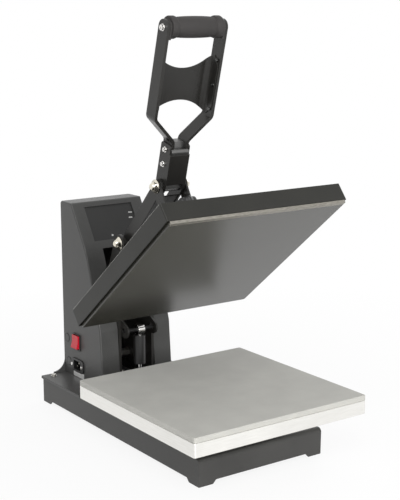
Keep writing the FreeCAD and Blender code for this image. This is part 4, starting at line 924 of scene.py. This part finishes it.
def makeStudio():
    world = bpy.data.worlds.new("studioWorld")
    bpy.context.scene.world = world
    world.use_nodes = True
    tree = world.node_tree
    tree.nodes.clear()
    output = tree.nodes.new("ShaderNodeOutputWorld")
    light = tree.nodes.new("ShaderNodeBackground")
    light.inputs["Color"].default_value = (1, 1, 1, 1)
    strength = tree.nodes.new("ShaderNodeMapRange")
    strength.inputs["To Min"].default_value = studio["world"]
    strength.inputs["To Max"].default_value = 1.0
    tree.links.new(rayMask(tree), strength.inputs["Value"])
    tree.links.new(strength.outputs["Result"], light.inputs["Strength"])
    tree.links.new(light.outputs["Background"], output.inputs["Surface"])

    half = studio["floorSize"] / 2
    mesh = bpy.data.meshes.new("studioFloor")
    mesh.from_pydata([(-half, -half, 0), (half, -half, 0), (half, half, 0), (-half, half, 0)], [], [(0, 1, 2, 3)])
    material = bpy.data.materials.new("studioPaper")
    material.use_nodes = True
    tree = material.node_tree
    tree.nodes.clear()
    output = tree.nodes.new("ShaderNodeOutputMaterial")
    paper = tree.nodes.new("ShaderNodeBsdfPrincipled")
    paper.inputs["Base Color"].default_value = (0.93, 0.93, 0.93, 1)
    paper.inputs["Roughness"].default_value = 0.5
    glow = tree.nodes.new("ShaderNodeEmission")
    glow.inputs["Strength"].default_value = 1.0
    place = tree.nodes.new("ShaderNodeTexCoord")
    distance = tree.nodes.new("ShaderNodeVectorMath")
    distance.operation = "LENGTH"
    glowHere = tree.nodes.new("ShaderNodeMapRange")
    glowHere.inputs["From Min"].default_value = studio["glowFrom"]
    glowHere.inputs["From Max"].default_value = studio["glowTo"]
    glowHere.inputs["To Min"].default_value = studio["nearGlow"]
    glowHere.inputs["To Max"].default_value = 1.0
    share = tree.nodes.new("ShaderNodeMath")
    share.operation = "MULTIPLY"
    mix = tree.nodes.new("ShaderNodeMixShader")
    tree.links.new(place.outputs["Object"], distance.inputs[0])
    tree.links.new(distance.outputs["Value"], glowHere.inputs["Value"])
    tree.links.new(glowHere.outputs["Result"], share.inputs[0])
    tree.links.new(rayMask(tree), share.inputs[1])
    tree.links.new(share.outputs[0], mix.inputs["Fac"])
    tree.links.new(paper.outputs["BSDF"], mix.inputs[1])
    tree.links.new(glow.outputs["Emission"], mix.inputs[2])
    tree.links.new(mix.outputs["Shader"], output.inputs["Surface"])
    floor = addPiece("studioFloor", mesh, material)
    floor.location.z = -0.0002


def addLamp(name, place, target, size, power):
    lamp = bpy.data.lights.new(name, "AREA")
    lamp.shape = "SQUARE"
    lamp.size = size
    lamp.energy = power
    holder = bpy.data.objects.new(name, lamp)
    bpy.context.scene.collection.objects.link(holder)
    holder.location = place
    holder.rotation_mode = "QUATERNION"
    holder.rotation_quaternion = (Vector(target) - Vector(place)).to_track_quat("-Z", "Y")


makeStudio()
addLamp("keyLamp", (-1.3, -1.9, 2.5), (0.0, 0.0, 0.3), 1.8, studio["key"])
addLamp("fillLamp", (-0.7, -3.0, 0.75), (0.0, 0.0, 0.25), 1.4, studio["fill"])
addLamp("sideLamp", (2.3, 1.0, 1.6), (0.0, 0.0, 0.3), 1.6, studio["side"])
bpy.context.scene.view_settings.view_transform = "Standard"
print("scene ready")
